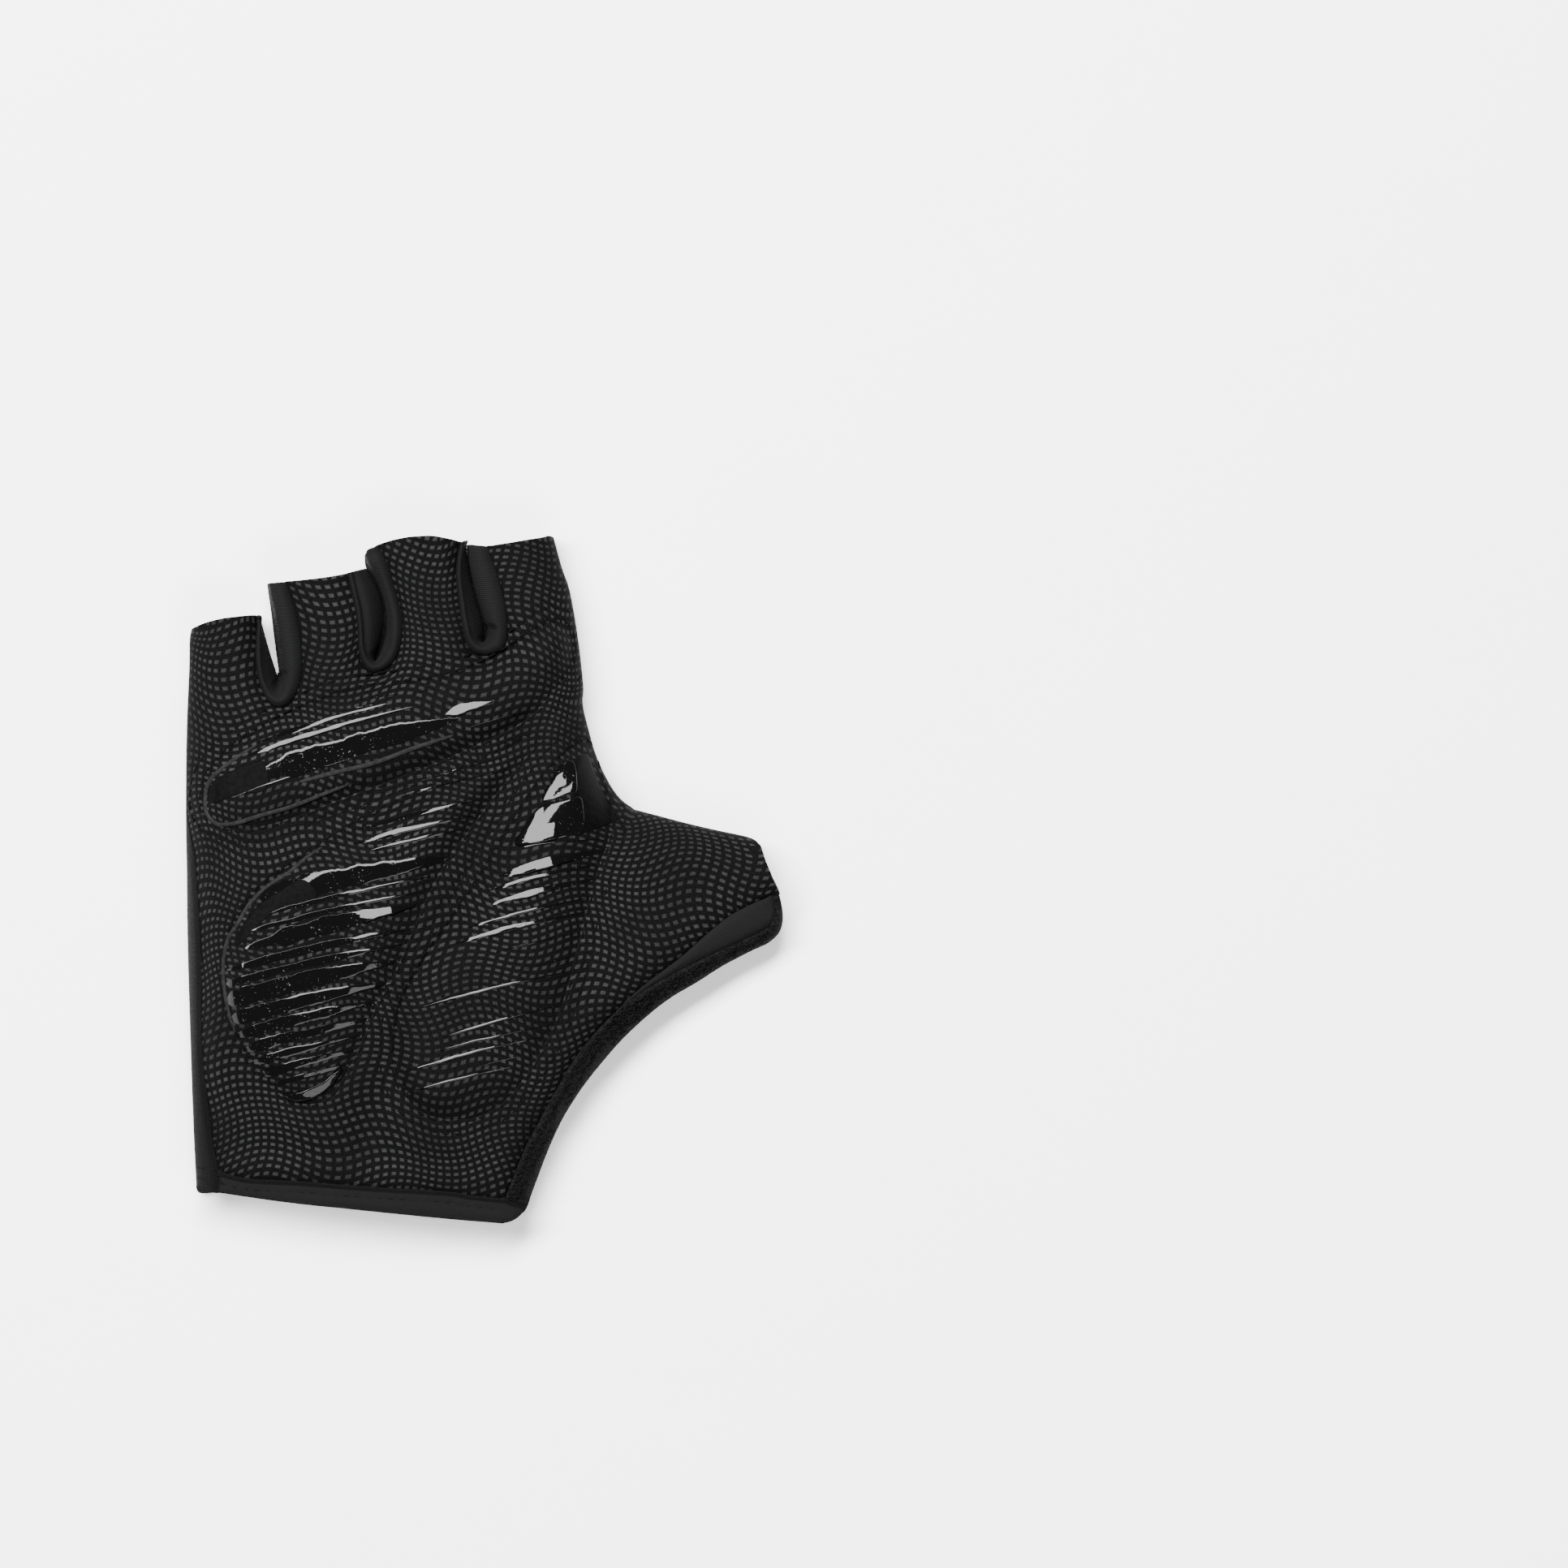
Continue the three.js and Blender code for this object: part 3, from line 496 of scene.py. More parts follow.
def make_object(name, vertices, faces, uv=None):
    mesh = bpy.data.meshes.new(name)
    mesh.from_pydata((np.asarray(vertices) * MM).tolist(), [], [list(map(int, f)) for f in faces])
    if uv is not None:
        layer = mesh.uv_layers.new(name="cloth")
        corner = np.empty(len(mesh.loops), np.int32)
        mesh.loops.foreach_get("vertex_index", corner)
        layer.data.foreach_set("uv", np.asarray(uv, np.float32)[corner].ravel())
    mesh.shade_smooth()
    piece = bpy.data.objects.new(name, mesh)
    bpy.context.scene.collection.objects.link(piece)
    return piece


def plan_points(loop, grid):
    """Points that fill a loop: its own, rings close to its edge and a grid inside."""
    rings = []
    normal = right_of(np.roll(loop, -1, axis=0) - np.roll(loop, 1, axis=0))
    edge = [closed(loop)]
    for depth in RING_DEPTHS:
        for side in (-1, 1):
            ring = loop + side * depth * normal
            ring = ring[inside(ring, loop)]
            if len(ring):
                ring = ring[nearest(ring, edge)[0] > 0.93 * depth]
            rings.append(ring)
    low, high = loop.min(0), loop.max(0)
    rows = np.arange(low[1], high[1], grid * math.sqrt(3) / 2)
    field = []
    for i, y in enumerate(rows):
        across = np.arange(low[0] + (i % 2) * grid / 2, high[0], grid)
        field.append(np.column_stack([across, np.full(len(across), y)]))
    field = np.vstack(field)
    field = field[inside(field, loop)]
    field = field[nearest(field, edge)[0] > RING_DEPTHS[-1] + 0.5 * grid]
    return np.vstack([loop, *rings, field])


def fill(loop, grid=GRID):
    """Triangles over a loop in the plan: the points and the faces, wound to face up."""
    points = plan_points(loop, grid)
    ring = len(loop)
    edges = [(i, (i + 1) % ring) for i in range(ring)]
    out = delaunay_2d_cdt([Vector(p) for p in points], edges, [list(range(ring))], 1, 1e-5)
    flat = np.array([tuple(v) for v in out[0]])
    faces = np.array(out[2])
    a, b, c = flat[faces[:, 0]], flat[faces[:, 1]], flat[faces[:, 2]]
    turned = np.cross(b - a, c - a) < 0
    faces[turned] = faces[turned][:, ::-1]
    return flat, faces


def thicken(piece, thickness):
    solid = piece.modifiers.new("thickness", "SOLIDIFY")
    solid.thickness = thickness * MM
    solid.offset = -1
    solid.use_rim = True


def cloth_piece(piece, node, material, thickness=CLOTH):
    piece.data.materials.append(material)
    thicken(piece, thickness)
    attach(piece, "root")
    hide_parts(node)


# Materials

class Shader:
    """A small helper that writes a material's nodes as sums."""

    def __init__(self, name):
        self.material = bpy.data.materials.new(name)
        self.material.use_nodes = True
        self.nodes = self.material.node_tree.nodes
        self.links = self.material.node_tree.links
        self.surface = self.nodes["Principled BSDF"]

    def put(self, socket, value):
        if isinstance(value, bpy.types.NodeSocket):
            self.links.new(value, socket)
        else:
            socket.default_value = value

    def math(self, operation, *values):
        node = self.nodes.new("ShaderNodeMath")
        node.operation = operation
        for socket, value in zip(node.inputs, values):
            self.put(socket, value)
        return node.outputs[0]

    def add(self, first, second):
        return self.math("ADD", first, second)

    def times(self, first, second):
        return self.math("MULTIPLY", first, second)

    def from_middle(self, cell):
        """Distance from the middle of each cell, from 0 to a half."""
        return self.math("ABSOLUTE", self.math("SUBTRACT", self.math("FRACT", cell), 0.5))

    def uv(self):
        """The cloth's own coordinates in millimetres."""
        split = self.nodes.new("ShaderNodeSeparateXYZ")
        node = self.nodes.new("ShaderNodeUVMap")
        node.uv_map = "cloth"
        self.links.new(node.outputs[0], split.inputs[0])
        return split.outputs[0], split.outputs[1], node.outputs[0]

    def noise(self, scale, detail=2.0, roughness=0.5, vector=None):
        node = self.nodes.new("ShaderNodeTexNoise")
        node.inputs["Scale"].default_value = scale
        node.inputs["Detail"].default_value = detail
        node.inputs["Roughness"].default_value = roughness
        if vector is None:
            vector = self.nodes.new("ShaderNodeTexCoord").outputs["Object"]
        self.links.new(vector, node.inputs["Vector"])
        return node.outputs[0]

    def mix(self, share, first, second):
        node = self.nodes.new("ShaderNodeMix")
        node.data_type = "RGBA"
        self.put(node.inputs["Factor"], share)
        self.put(node.inputs["A"], first)
        self.put(node.inputs["B"], second)
        return node.outputs["Result"]

    def remap(self, value, low, high, to_low=0.0, to_high=1.0):
        node = self.nodes.new("ShaderNodeMapRange")
        node.interpolation_type = "SMOOTHSTEP"
        for socket, number in zip(node.inputs, (value, low, high, to_low, to_high)):
            self.put(socket, number)
        return node.outputs[0]

    def bump(self, height, distance):
        node = self.nodes.new("ShaderNodeBump")
        node.inputs["Distance"].default_value = distance * MM
        self.put(node.inputs["Height"], height)
        return node.outputs[0]

    def finish(self, color, roughness, normal=None, **values):
        self.put(self.surface.inputs["Base Color"], color)
        self.put(self.surface.inputs["Roughness"], roughness)
        if normal is not None:
            self.put(self.surface.inputs["Normal"], normal)
        for name, value in values.items():
            self.put(self.surface.inputs[name.replace("_", " ")], value)
        return self.material


def grey(value):
    return (value, value, value * 1.02, 1.0)


DOT_PITCH_X = 2.10
DOT_PITCH_Y = 1.80


def dot_waves(s, x, y):
    """The printed grid's wavy coordinates, in cells."""
    def wave(amplitude, kx, ky, phase):
        turn = s.add(s.times(x, kx), s.times(y, ky))
        return s.times(s.math("SINE", s.add(turn, phase)), amplitude)
    u = s.add(x, s.add(wave(1.7, 0.04, 0.20, 0.6), wave(1.1, 0.13, -0.09, 1.9)))
    v = s.add(y, s.add(wave(1.6, 0.21, 0.05, 0.2), wave(1.0, -0.10, 0.14, 2.7)))
    return s.math("DIVIDE", u, DOT_PITCH_X), s.math("DIVIDE", v, DOT_PITCH_Y)


def suede_material():
    s = Shader("dotted suede")
    x, y, uv = s.uv()
    u, v = dot_waves(s, x, y)

    fibre = s.noise(2.6, 3.0, 0.7, uv)
    worn = s.times(s.math("SUBTRACT", fibre, 0.5), 0.22)

    def band(cell, half):
        return s.remap(s.add(s.from_middle(cell), worn), half - 0.06, half + 0.06, 1.0, 0.0)
    dot = s.times(band(u, 0.275), band(v, 0.215))
    cloudy = s.noise(0.05, 2.0, 0.5, uv)
    strength = s.times(s.remap(fibre, 0.34, 0.64, 0.35), s.remap(cloudy, 0.34, 0.66, 0.5))
    base = s.mix(s.remap(fibre, 0.3, 0.7), grey(0.0003), grey(0.0025))
    color = s.mix(s.times(dot, strength), base, grey(0.020))
    height = s.add(s.times(dot, -0.35), s.times(fibre, 0.5))
    return s.finish(color, 0.85, s.bump(height, 0.12), Specular_IOR_Level=0.03)


def knit_material(name, tone, pitch, angle=0.0, zigzag=0.0):
    """Fine ribs that follow each other at an angle in degrees from the cloth's x, bent by rows, with
    painted shade in the valleys between them.
    """
    s = Shader(name)
    x, y, uv = s.uv()
    c, d = math.cos(math.radians(angle)), math.sin(math.radians(angle))
    across = s.add(s.times(x, c), s.times(y, d))
    along = s.math("SUBTRACT", s.times(y, c), s.times(x, d))
    if zigzag:
        bend = s.from_middle(s.math("DIVIDE", along, 1.1))
        across = s.add(across, s.times(bend, zigzag))
    ribs = s.math("SINE", s.times(across, 2 * math.pi / pitch))
    stitches = s.math("SINE", s.times(along, 2 * math.pi / (pitch * 0.8)))
    fibre = s.noise(2.4, 3.0, 0.7, uv)
    height = s.add(s.times(ribs, 0.5), s.times(stitches, 0.25))
    height = s.add(height, s.times(fibre, 0.9))
    # Colour follows the knit's height: lighter on the ribs and darker in their valleys is painted shade,
    # and the fibre noise in it is the yarn's own uneven tone.
    rib_shade_and_fibre_tone = s.remap(height, -0.5, 1.2)
    color = s.mix(rib_shade_and_fibre_tone, grey(tone * 0.45), grey(tone * 1.5))
    return s.finish(color, 0.8, s.bump(height, 0.07), Sheen_Weight=0.006, Sheen_Roughness=0.4,
                    Specular_IOR_Level=0.04)


def rubber_material():
    """Glossy black print with lint on it."""
    s = Shader("grip print")
    lint = s.noise(1900, 2.0, 0.6)
    soft = s.noise(260, 2.0, 0.5)
    speck = s.times(s.remap(lint, 0.65, 0.72), s.remap(soft, 0.40, 0.60))
    color = s.mix(speck, grey(0.0012), grey(0.05))
    rough = s.remap(speck, 0.0, 1.0, 0.055, 0.6)
    wavy = s.noise(520, 3.0, 0.6)
    return s.finish(color, rough, s.bump(wavy, 0.03), IOR=1.2)


def dull_material(name, tone, level):
    """Print that is too thin or worn to shine; the lighter grey it is given at the rims is a painted
    reflection of their rounded edge.
    """
    s = Shader(name)
    cloudy = s.noise(900, 3.0, 0.6)
    color = s.mix(s.remap(cloudy, 0.35, 0.65), grey(tone * 0.6), grey(tone * 1.4))
    return s.finish(color, 0.65, s.bump(cloudy, 0.05), Specular_IOR_Level=level)


def thread_material():
    s = Shader("thread")
    twist = s.noise(3000, 2.0)
    color = s.mix(twist, grey(0.0004), grey(0.0013))
    return s.finish(color, 0.8, s.bump(twist, 0.05), Specular_IOR_Level=0.04)


def terry_material():
    s = Shader("terry")
    curls = s.noise(1400, 3.0, 0.7)
    color = s.mix(s.remap(curls, 0.35, 0.7), grey(0.0012), grey(0.0062))
    return s.finish(color, 0.95, s.bump(curls, 0.5), Specular_IOR_Level=0.05)


def floor_material():
    s = Shader("white table")
    speck = s.noise(40, 2.0)
    color = s.mix(speck, (0.93, 0.93, 0.93, 1), (0.95, 0.95, 0.95, 1))
    return s.finish(color, 0.9, Specular_IOR_Level=0.1)


# Pieces

def flat_piece(name, loop, height, rim):
    """A piece over a loop in the plan, its rim turned down into its seam."""
    flat, faces = fill(loop)
    distance, _ = nearest(flat, [closed(loop)])
    z = height(flat) - rim * np.exp(-(distance / RIM_WIDTH_OF_PANEL) ** 2)
    return make_object(name, np.column_stack([flat, z]), faces, cloth_uv(flat))


def outer_seam(name):
    return smooth(gussets[name][:, :2], STEP)


def between(line, start, end):
    """The stretch of a line whose x runs from start to end."""
    return line[(line[:, 0] > start) & (line[:, 0] < end)]


def palm_loop():
    g1, g2, g3 = (outer_seam(name) for name in gussets)
    mouths = [between(little_mouth, -99, g1[0, 0] - 0.1), g1,
              between(ring_mouth, g1[-1, 0] + 0.1, g2[0, 0] - 0.1), g2,
              between(middle_mouth, g2[-1, 0] + 0.1, g3[0, 0] - 0.1), g3,
              between(index_mouth, g3[-1, 0] + 0.1, 99)]
    upper_mouth = thumb_mouth[thumb_mouth[:, 1] > wedge_upper[-1, 1]]
    strip_top = strip_seam[strip_seam[:, 1] > hem_seam[0, 1]]
    side = ulnar_side[ulnar_side[:, 1] > strip_seam[-1, 1] + 0.4]
    terry = terry_seam[terry_seam[:, 1] > hem_seam[-1, 1]]
    return chain(*mouths, index_side, thumb_top, upper_mouth, wedge_upper[::-1], terry[::-1],
                 hem_seam[::-1], strip_top, side)


def build_palm(material):
    loop = palm_loop()
    flat, faces = fill(loop)
    distance, _ = nearest(flat, [strip_seam[strip_seam[:, 1] > hem_seam[0, 1]], hem_seam, terry_seam,
                                 wedge_upper, *(outer_seam(name) for name in gussets)])
    turned = 0.35 * np.exp(-(distance / 0.5) ** 2) + 1.1 * np.exp(-(distance / 2.6) ** 2)
    vertices = np.column_stack([flat, panel_z(flat) - turned])
    piece = make_object("palm_suede", vertices, faces, cloth_uv(flat))
    cloth_piece(piece, "palm_panel", material)


def build_pad(name, material):
    loop = pad_edges[name]
    piece = flat_piece(name + "_cover", loop, pad_z(name), rim=0.0)
    piece.data.materials.append(material)
    thicken(piece, PAD_COVER)
    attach(piece, "root")
    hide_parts(name)


def build_gusset(name, material):
    """A strip of knit that rolls over the palm's seam and falls to the crease and the lower seam."""
    rows = gussets[name]
    outer, inner, roll = rows[:, :2], rows[:, 2:4], rows[:, 4]
    reach = np.linalg.norm(inner - outer, axis=1)
    roll = np.minimum(roll, 0.92 * reach)
    shares = np.linspace(0, 1, 25)
    crown = palm_z(outer)
    count = len(rows)
    along = lengths(outer)
    outward = (outer - inner) / np.maximum(reach, 1e-6)[:, None]
    foot = along[np.argmin(outer[:, 1])]
    left = np.clip((foot - 1.5 - along) / 4, 0, 1)
    vertices = [np.column_stack([outer + 0.6 * outward, crown - 1.9])]
    for share in shares:
        place = outer + (inner - outer) * share
        t = share * reach / roll
        top = crown - 0.9 + (0.9 + ROLL_BULGE) * np.sin(math.pi * np.clip(0.06 + 0.94 * t, 0, 1)) ** 0.75
        fall = np.clip((share * reach - roll) / np.maximum(reach - roll, 0.3), 0, 1)
        high = left * (1 - fall ** LEFT_WALL[name]) + (1 - left) * (1 - fall) ** 1.7
        z = np.where(t < 1, top, SEAM_Z + (crown - 0.9 - SEAM_Z) * high)
        for x, y, length, width, turn, depth in GUSSET_DIMPLES:
            gap = place - (x, y)
            c, s = math.cos(math.radians(turn)), math.sin(math.radians(turn))
            across, down = gap @ (c, s) / length, gap @ (-s, c) / width
            z = z - depth * np.exp(-(across ** 2 + down ** 2) ** 2)
        vertices.append(np.column_stack([place, z]))
    stack = np.array(vertices)
    step = np.linalg.norm(np.diff(stack, axis=0), axis=2)
    down = np.vstack([np.zeros(count), np.cumsum(step, axis=0)])
    uv = [np.column_stack([along, level]) for level in down]
    for distance, z in [(0.0, 4.8), (0.1, 3.6), (0.5, GUSSET_LOW)]:
        vertices.append(np.column_stack([inner + outward * distance, np.full(count, z)]))
        uv.append(np.column_stack([along, down[-1] + SEAM_Z - z]))
    levels = len(vertices)
    faces = [(a * count + i, (a + 1) * count + i, (a + 1) * count + i + 1, a * count + i + 1)
             for a in range(levels - 1) for i in range(count - 1)]
    piece = make_object(name + "_knit", np.vstack(vertices), faces, np.vstack(uv))
    piece.data.flip_normals()
    cloth_piece(piece, name, material, RIBBED)


def end_shape(distance, half, taper):
    """From 0 at a stripe's end to 1: a round end, drawn out by its taper."""
    t = np.clip(distance / (half + taper), 0, 1)
    return np.sqrt(np.maximum(1 - (1 - t) ** 2, 0)) if taper < 2 else t ** 0.6


def uneven(random, count, amount):
    """A gently uneven line of numbers about 0."""
    return np.convolve(random.normal(0, amount, count + 4), np.ones(5) / 5, "valid")


def stripe_mesh(rows, seed):
    """All stripes of one pad's grip print."""
    random = np.random.default_rng(seed)
    vertices, faces, start = [], [], 0
    across = 25
    shares = np.sin(np.linspace(-1, 1, across) * math.pi / 2)
    for (left_x, left_y, right_x, right_y, width, blunt_left, blunt_right, lit_from, lit_to,
         shoulder) in rows:
        a, b = picture(left_x, left_y), picture(right_x, right_y)
        length = np.linalg.norm(b - a)
        count = max(8, round(length / 0.5))
        t = (1 - np.cos(np.linspace(0, 1, count) * math.pi)) / 2
        run = (b - a) / length
        normal = np.array([-run[1], run[0]])
        full = width * PICTURE_STEP / 2
        ends = end_shape(t * length, full, 12 * (1 - blunt_left))
        ends *= end_shape((1 - t) * length, full, 26 * (1 - blunt_right))
        half = full * ends * (1 + uneven(random, count, 0.2))
        bow = 0.012 * length * np.sin(t * math.pi)
        sway = bow + uneven(random, count, 0.16) * ends
        middle = a + run * (t * length)[:, None] + normal * sway[:, None]
        aside = half[:, None] * shares
        plan = middle[:, None, :] + normal * aside[:, :, None]
        flat = plan.reshape(-1, 2)
        ground = top_z(flat)
        envelope = np.clip(1 + np.minimum(t - lit_from, lit_to - t) / 0.07, 0, 1)
        side = shoulder * envelope * (1 + uneven(random, count, 0.45))
        span = np.diff(aside, axis=1)
        fall = np.diff(ground.reshape(count, across), axis=1) / np.maximum(span, 1e-6)
        reach = (half[:, None] - aside)[:, 1:]
        climb = np.clip(LIT_SLOPE + fall, 0, 0.45) * span * np.clip((side[:, None] - reach) / 0.1 + 1, 0, 1)
        dome = np.column_stack([np.cumsum(climb[:, ::-1], axis=1)[:, ::-1], np.zeros(count)])
        dome *= np.clip((half[:, None] + aside) / 0.35, 0, 1)
        vertices.append(np.column_stack([flat, ground + 0.07 + dome.reshape(-1)]))
        vertices.append(np.column_stack([flat, ground - 0.12]))
        size = count * across
        for i in range(count - 1):
            for j in range(across - 1):
                q = start + i * across + j
                faces.append((q, q + across, q + across + 1, q + 1))
                faces.append((q + size, q + size + 1, q + size + across + 1, q + size + across))
        rim_loop = [i * across for i in range(count)] + [(count - 1) * across + j for j in range(1, across)]
        rim_loop += [i * across + across - 1 for i in range(count - 2, -1, -1)]
        rim_loop += list(range(across - 2, 0, -1))
        for p, q in zip(rim_loop, rim_loop[1:] + rim_loop[:1]):
            faces.append((start + p, start + p + size, start + q + size, start + q))
        start += 2 * size
    return np.vstack(vertices), faces


def tube_mesh(lines, radius, sides):
    """Closed thin tubes along lines of x, y, z, tapered at their ends."""
    vertices, faces, start = [], [], 0
    turn = np.linspace(0, 2 * math.pi, sides, endpoint=False)
    for line in lines:
        run = np.gradient(line, axis=0)
        run /= np.linalg.norm(run, axis=1)[:, None]
        side = np.cross(run, (0.0, 0.0, 1.0))
        side /= np.maximum(np.linalg.norm(side, axis=1), 1e-6)[:, None]
        up = np.cross(side, run)
        t = np.linspace(-1, 1, len(line))
        size = radius * np.sqrt(1 - 0.92 * t ** 6)
        ring = side[:, None, :] * np.cos(turn)[None, :, None] + up[:, None, :] * np.sin(turn)[None, :, None]
        vertices.append((line[:, None, :] + ring * size[:, None, None]).reshape(-1, 3))
        for i in range(len(line) - 1):
            for j in range(sides):
                k = (j + 1) % sides
                a, b = start + i * sides, start + (i + 1) * sides
                faces.append((a + j, a + k, b + k, b + j))
        last = start + (len(line) - 1) * sides
        faces.append(tuple(start + j for j in range(sides))[::-1])
        faces.append(tuple(last + j for j in range(sides)))
        start += len(line) * sides
    return np.vstack(vertices), faces


def plain_piece(name, vertices, faces, material):
    piece = make_object(name, vertices, faces)
    piece.data.materials.append(material)
    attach(piece, "root")
    return piece


def tubes(name, lines, radius, material, sides=6):
    vertices, faces = tube_mesh(lines, radius, sides)
    plain_piece(name, vertices, faces, material)


def faceted(name, flat, z, edge):
    """A film's heights, filled out to its flat."""
    x, y, bearing, slope, limit = FACETS[name]
    spot = picture(x, y)
    share = np.clip((picture(limit, y)[0] - flat[:, 0]) / 0.6, 0, 1)
    toward = np.array([math.cos(math.radians(bearing)), math.sin(math.radians(bearing))])
    level = top_z(spot[None])[0] + FACET_LIFT - slope * (flat - spot) @ toward
    return z + share * np.clip(level - z, 0, FACET_RISE * rounded(edge, 0.8))


def build_grip(material, rim, worn):
    for seed, (name, rows) in enumerate(STRIPES.items()):
        vertices, faces = stripe_mesh(rows, seed)
        plain_piece("grip_on_" + name, vertices, faces, material)
    for name, points in FILMS.items():
        x, y = np.array(points).T
        loop = smooth(picture(x, y), 0.35, ring=True)
        flat, faces = fill(loop, 0.5)
        edge, _ = nearest(flat, [closed(loop)])
        worn_out = name in WORN_FILMS
        z = top_z(flat) + (0.0 if worn_out else 0.04) + (0.08 if worn_out else 0.12) * rounded(edge, 0.5)
        if name in FACETS:
            z = faceted(name, flat, z, edge)
        look = worn if worn_out else material
        thicken(plain_piece("film_" + name, np.column_stack([flat, z]), faces, look), FILM)
    lines = []
    for points in RIMS:
        x, y = np.array(points).T
        middle = smooth(picture(x, y), 0.8)
        lines.append(np.column_stack([middle, top_z(middle) + 0.02]))
    vertices, faces = tube_mesh(lines, RIM_WIDTH / 2, 10)
    centre = np.vstack([np.repeat(line, 10, axis=0) for line in lines])
    vertices[:, 2] = centre[:, 2] + 0.4 * (vertices[:, 2] - centre[:, 2])
    # The rims take the lighter grey print, a painted reflection of their rounded edge.
    plain_piece("grip_rims", vertices, faces, rim)


def dashes(line):
    """Short stitches along a line in the plan, laid on the glove."""
    along = lengths(line)
    count = int(along[-1] // STITCH_PITCH)
    starts = np.arange(count) * along[-1] / count
    t = np.linspace(0, 1, 7)
    at = (starts[:, None] + t * STITCH_LENGTH).ravel()
    plan = places(line, along, at)
    z = top_z(plan) - 0.02 - 0.25 * (2 * np.tile(t, count) - 1) ** 4
    return list(np.column_stack([plan, z]).reshape(count, 7, 3))


def beside(line, away):
    """The line moved to its right."""
    return line + away * right_of(np.gradient(line, axis=0))


def ticks(line, length, pitch, lean, lift, seed):
    """Short threads laid across a seam line."""
    random = np.random.default_rng(seed)
    along = lengths(line)
    at = np.arange(pitch, along[-1] - pitch, pitch)
    at += random.uniform(-0.15, 0.15, len(at)) * pitch
    middle = places(line, along, at)
    run = places(np.gradient(line, axis=0), along, at)
    run /= np.linalg.norm(run, axis=1)[:, None]
    across = np.column_stack([run[:, 1], -run[:, 0]])
    size = length * random.uniform(0.8, 1.1, len(at))
    t = np.linspace(-0.5, 0.5, 5)
    way = across + lean * run
    plan = middle[:, None, :] + way[:, None, :] * (t[None, :] * size[:, None])[:, :, None]
    z = palm_z(plan.reshape(-1, 2)).reshape(len(at), 5) + lift - 0.9 * (2 * t[None, :]) ** 4 * 0.3
    return [np.column_stack([plan[i], z[i]]) for i in range(len(at))]


def build_seam_threads(material, tape_look):
    lines = []
    seam = np.vstack([hem_seam, hem_end[1:]])
    lines += ticks(beside(seam, 0.2), 0.85, 0.42, 0.8, -0.02, 11)
    lines += ticks(beside(seam, 0.75), 0.75, 0.42, -0.8, -0.04, 12)
    for level in (-69.2, -71.6):
        line = smooth([(-69.2, level), (-64.3, level - 0.4)])
        lines += ticks(line, 0.8, 0.4, 0.5, -0.02, 13)
    tubes("overlock_threads", lines, 0.13, tape_look, 5)
    lines = []
    for seed, name in enumerate(gussets):
        seam = gussets[name][:, :2]
        left = seam[:np.argmin(seam[:, 1])]
        lines += ticks(left, 0.55, 0.5, 0.15, -0.38, 20 + seed)
    tubes("seam_threads", lines, 0.11, material, 5)


HEM_STITCH_DROP = 2.5
HEM_STITCH_PITCH = 2.7


def build_hem_stitches(material):
    lines = []
    line = beside(hem_seam, HEM_STITCH_DROP)
    along = lengths(line)
    t = np.linspace(0, 1, 7)
    for start in np.arange(1.5, along[-1] - 3, HEM_STITCH_PITCH):
        at = start + t * 1.5
        plan = places(line, along, at)
        lines.append(np.column_stack([plan, palm_z(plan) - 0.30 - 0.3 * (2 * t - 1) ** 4]))
    tubes("hem_stitching", lines, 0.19, material)


LOOP_RADIUS = 0.44
LOOP_THREAD = 0.16


def terry_spots(random):
    """Where the loops stand: rows along the seam below, strewn about at the thumb."""
    area = terry_loop()
    rows = []
    for row in range(8):
        line = beside(terry_seam, 0.8 + 1.4 * row)
        along = lengths(line)
        at = np.arange(0, along[-1], 1.02)
        at = at + random.uniform(-0.12, 0.12, len(at))
        rows.append(places(line, along, at))
    spots = np.vstack(rows) + random.normal(0, 0.09, (sum(map(len, rows)), 2))
    low, high = area.min(0), area.max(0)
    columns, levels = np.meshgrid(np.arange(31, high[0], 0.86), np.arange(low[1], high[1], 0.86))
    strewn = np.column_stack([columns.ravel(), levels.ravel()])
    strewn += random.uniform(-0.34, 0.34, strewn.shape)
    strewn = strewn[inside(strewn, area)]
    spots = spots[inside(spots, area) & (spots[:, 0] < 31.5)]
    spots = np.vstack([spots, strewn])
    seam = nearest(spots, [wedge_lower, wedge_end])[0]
    rim = nearest(spots, [thumb_mouth, radial_edge, hem_corner])[0]
    return spots[(seam > 0.45) & (rim > 1.0)]


def build_loops(material):
    random = np.random.default_rng(5)
    spots = terry_spots(random)
    z = palm_z(spots)
    slope_x = (palm_z(spots + (0.2, 0)) - z) / 0.2
    slope_y = (palm_z(spots + (0, 0.2)) - z) / 0.2
    lines = []
    for x, y, height, a, b in zip(spots[:, 0], spots[:, 1], z, slope_x, slope_y):
        normal = np.array([-a, -b, 1.0]) / math.sqrt(a * a + b * b + 1)
        first = np.array([1.0, 0.0, a]) / math.sqrt(1 + a * a)
        second = np.cross(normal, first)
        turn = random.uniform(0, 2 * math.pi)
        arc = np.linspace(0, random.uniform(4.8, 5.9), 9)[:, None] + turn
        size = LOOP_RADIUS * random.uniform(0.85, 1.15)
        tilt, bearing = random.uniform(0.1, 0.7), random.uniform(0, 2 * math.pi)
        ring = size * (first * np.cos(arc) + second * np.sin(arc))
        rise = 0.22 + size * (1 + np.cos(arc - bearing)) * tilt
        lines.append(np.array([x, y, height]) + ring + normal * rise)
    tubes("terry_loops", lines, LOOP_THREAD, material, 5)


def build_stitches(material):
    cover = palm_loop()
    lines = []
    for name, away in STITCH_LINES:
        for line in dashes(closed(offset(pad_edges[name], away))):
            straight = np.linalg.norm(line[-1] - line[0]) > 0.8 * STITCH_LENGTH
            other_pads = [loop for pad, loop in pad_edges.items() if pad != name]
            buried = any(inside(line[:, :2], loop).any() for loop in other_pads)
            if straight and not buried and inside(line[:, :2], cover).all():
                lines.append(line)
    tubes("pad_stitching", lines, STITCH_RADIUS, material)


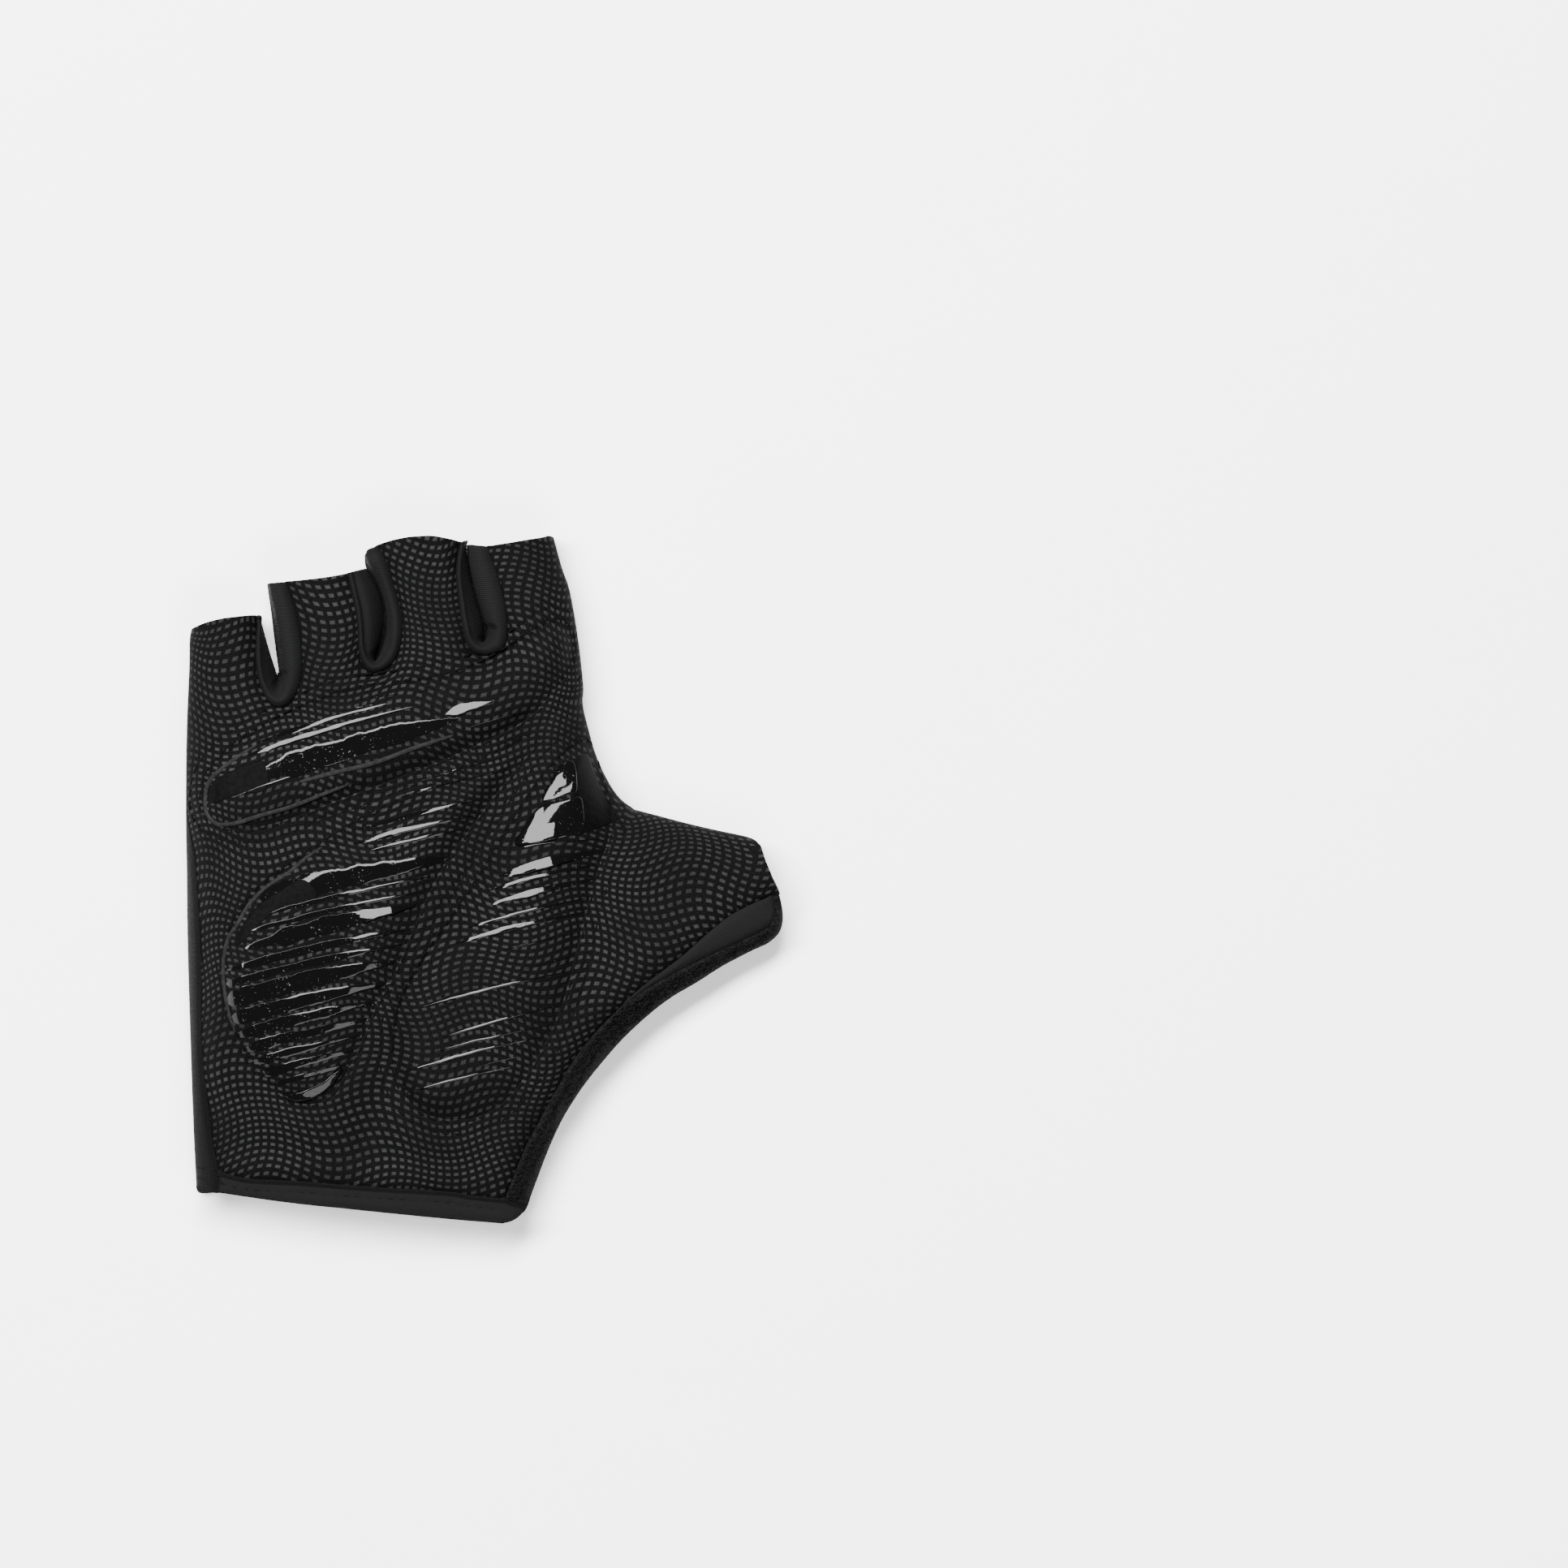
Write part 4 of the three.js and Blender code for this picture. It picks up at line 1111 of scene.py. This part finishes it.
def build_back(material):
    """The back of the hand with the strip that wraps round at the little finger side."""
    g1, g2, g3 = creases.values()
    loop = chain(ulnar_side, little_mouth, g1, ring_mouth, g2, middle_mouth, g3, index_mouth, index_side,
                 smooth([(35.5, 17.0), (33.6, 18.6)]), back_seam[::-1],
                 wrist_hem[wrist_hem[:, 0] < back_seam[0, 0]])
    flat, faces = fill(loop, 1.3)
    low = np.column_stack([flat, under_z(flat)])
    strip = chain(ulnar_side[ulnar_side[:, 1] < strip_seam[-1, 1]], strip_seam[::-1],
                  wrist_hem[wrist_hem[:, 0] < strip_seam[0, 0]])
    top_flat, top_faces = fill(strip, 0.7)
    top = np.column_stack([top_flat, palm_z(top_flat)])
    inner = nearest(top_flat, [strip_seam])[0]
    top[:, 2] -= 0.9 * np.exp(-(inner / 0.8) ** 2)
    vertices = np.vstack([low, top])
    uv = np.vstack([flat, cloth_uv(top_flat)])
    faces = np.vstack([faces[:, ::-1], top_faces + len(low)])
    piece = make_object("back_knit", vertices, faces, uv)
    cloth_piece(piece, "back_panel", material)


def terry_loop():
    """The outline of the terry cloth on the palm side."""
    return chain(terry_seam[terry_seam[:, 1] > hem_seam[-1, 1]], wedge_lower, wedge_end[::-1],
                 thumb_mouth[thumb_mouth[:, 1] < wedge_end[0, 1]], radial_edge,
                 hem_corner[hem_corner[:, 1] > hem_end[-1, 1]], hem_end[::-1])


def build_thumb_back(material):
    """Terry cloth under the thumb, round its edge and up to the seam on the palm side."""
    loop = chain(back_seam, thumb_top[1:], thumb_mouth, radial_edge, hem_corner,
                 wrist_hem[wrist_hem[:, 0] > back_seam[0, 0]])
    flat, faces = fill(loop, 1.3)
    low = np.column_stack([flat, under_z(flat)])
    top_flat, top_faces = fill(terry_loop(), 0.6)
    seam = nearest(top_flat, [terry_seam, wedge_lower, wedge_end, hem_end])[0]
    top = np.column_stack([top_flat, palm_z(top_flat) - 0.6 * np.exp(-(seam / 0.5) ** 2)])
    piece = make_object("thumb_terry", np.vstack([low, top]),
                        np.vstack([faces[:, ::-1], top_faces + len(low)]),
                        np.vstack([flat, cloth_uv(top_flat)]))
    cloth_piece(piece, "thumb_back_panel", material)


def build_wedge(material):
    loop = chain(wedge_upper, wedge_end, wedge_lower[::-1])
    piece = flat_piece("thumb_knit", loop, palm_z, rim=0.6)
    cloth_piece(piece, "thumb_gusset", material, RIBBED)


def build_binding(material):
    hem = wrist_hem[wrist_hem[:, 0] > strip_seam[0, 0]]
    loop = chain(hem_seam, hem_end, hem_corner[hem_corner[:, 1] < hem_end[-1, 1]], hem,
                 strip_seam[strip_seam[:, 1] < hem_seam[0, 1]])

    def height(points):
        """Drawn in along the stitching, swollen between the stitches."""
        distance, _ = nearest(points, [np.vstack([hem_seam, hem_end])])
        pucker = 0.30 + 0.12 * np.sin(points[:, 0] * 2 * math.pi / HEM_STITCH_PITCH)
        return palm_z(points) - pucker * np.exp(-((distance - HEM_STITCH_DROP) / 0.55) ** 2)
    piece = flat_piece("wrist_tape", loop, height, rim=0.9)
    cloth_piece(piece, "wrist_binding", material)


# The stage

PHOTO_WIDTH = 376.7     # what the picture takes in across its middle
PHOTO_CENTRE = (71.96, 23.0)
CAMERA_HEIGHT = 5000.0
SENSOR = 36.0
MID_HEIGHT = 8.0        # of the glove, where that width is measured
LAMP_DISTANCE = 1.7     # metres


def build_camera():
    data = bpy.data.cameras.new("camera")
    data.sensor_width = SENSOR
    data.lens = SENSOR * (CAMERA_HEIGHT - MID_HEIGHT) / PHOTO_WIDTH
    data.clip_end = 10
    camera = bpy.data.objects.new("camera", data)
    camera.location = (PHOTO_CENTRE[0] * MM, PHOTO_CENTRE[1] * MM, CAMERA_HEIGHT * MM)
    bpy.context.scene.collection.objects.link(camera)
    bpy.context.scene.camera = camera


def build_floor():
    side = 4000
    corners = [(-side, -side, 0), (side, -side, 0), (side, side, 0), (-side, side, 0)]
    floor = make_object("table", corners, [(0, 1, 2, 3)])
    floor.data.materials.append(floor_material())


def lamp(name, azimuth, tilt, size, power):
    """A softbox at a bearing in degrees from +X and a tilt from straight up, aimed at the glove."""
    turn, lean = math.radians(azimuth), math.radians(tilt)
    aim = Vector((-0.01, 0.0, 0.01))
    place = aim + LAMP_DISTANCE * Vector((math.cos(turn) * math.sin(lean), math.sin(turn) * math.sin(lean),
                                          math.cos(lean)))
    data = bpy.data.lights.new(name, "AREA")
    data.shape = "RECTANGLE"
    data.size, data.size_y = size
    data.energy = power
    light = bpy.data.objects.new(name, data)
    light.location = place
    light.rotation_euler = (aim - place).to_track_quat("-Z", "Y").to_euler()
    bpy.context.scene.collection.objects.link(light)


def build_lights():
    lamp("softbox_over_fingers", 122, 31, (1.8, 0.5), 200)
    lamp("softbox_front", 295, 42, (1.3, 0.6), 36)
    world = bpy.data.worlds.new("studio")
    world.use_nodes = True
    background = world.node_tree.nodes["Background"]
    background.inputs["Color"].default_value = (1, 1, 1, 1)
    background.inputs["Strength"].default_value = 0.3
    bpy.context.scene.world = world


build_camera()
build_floor()
build_lights()
suede = suede_material()
ribbed = knit_material("ribbed knit", 0.0036, 0.5)
wedge_knit = knit_material("wedge knit", 0.0042, 0.4, angle=34)
smooth_knit = knit_material("stretch knit", 0.0017, 0.4)
tape = knit_material("elastic tape", 0.0036, 0.5, zigzag=0.9)
terry = terry_material()
build_palm(suede)
for pad_name in PADS:
    build_pad(pad_name, suede)
for gusset_name in GUSSETS:
    build_gusset(gusset_name, ribbed)
build_back(smooth_knit)
build_thumb_back(terry)
build_wedge(wedge_knit)
build_binding(tape)
# The rim print's lighter grey is a painted reflection of the rims' rounded edge; the worn print keeps the
# film's own dark.
build_grip(rubber_material(), dull_material("rim print with painted reflection", 0.005, 0.06),
           dull_material("worn print", 0.001, 0.02))
thread = thread_material()
build_stitches(thread)
build_seam_threads(thread, tape)
build_hem_stitches(thread)
build_loops(terry)
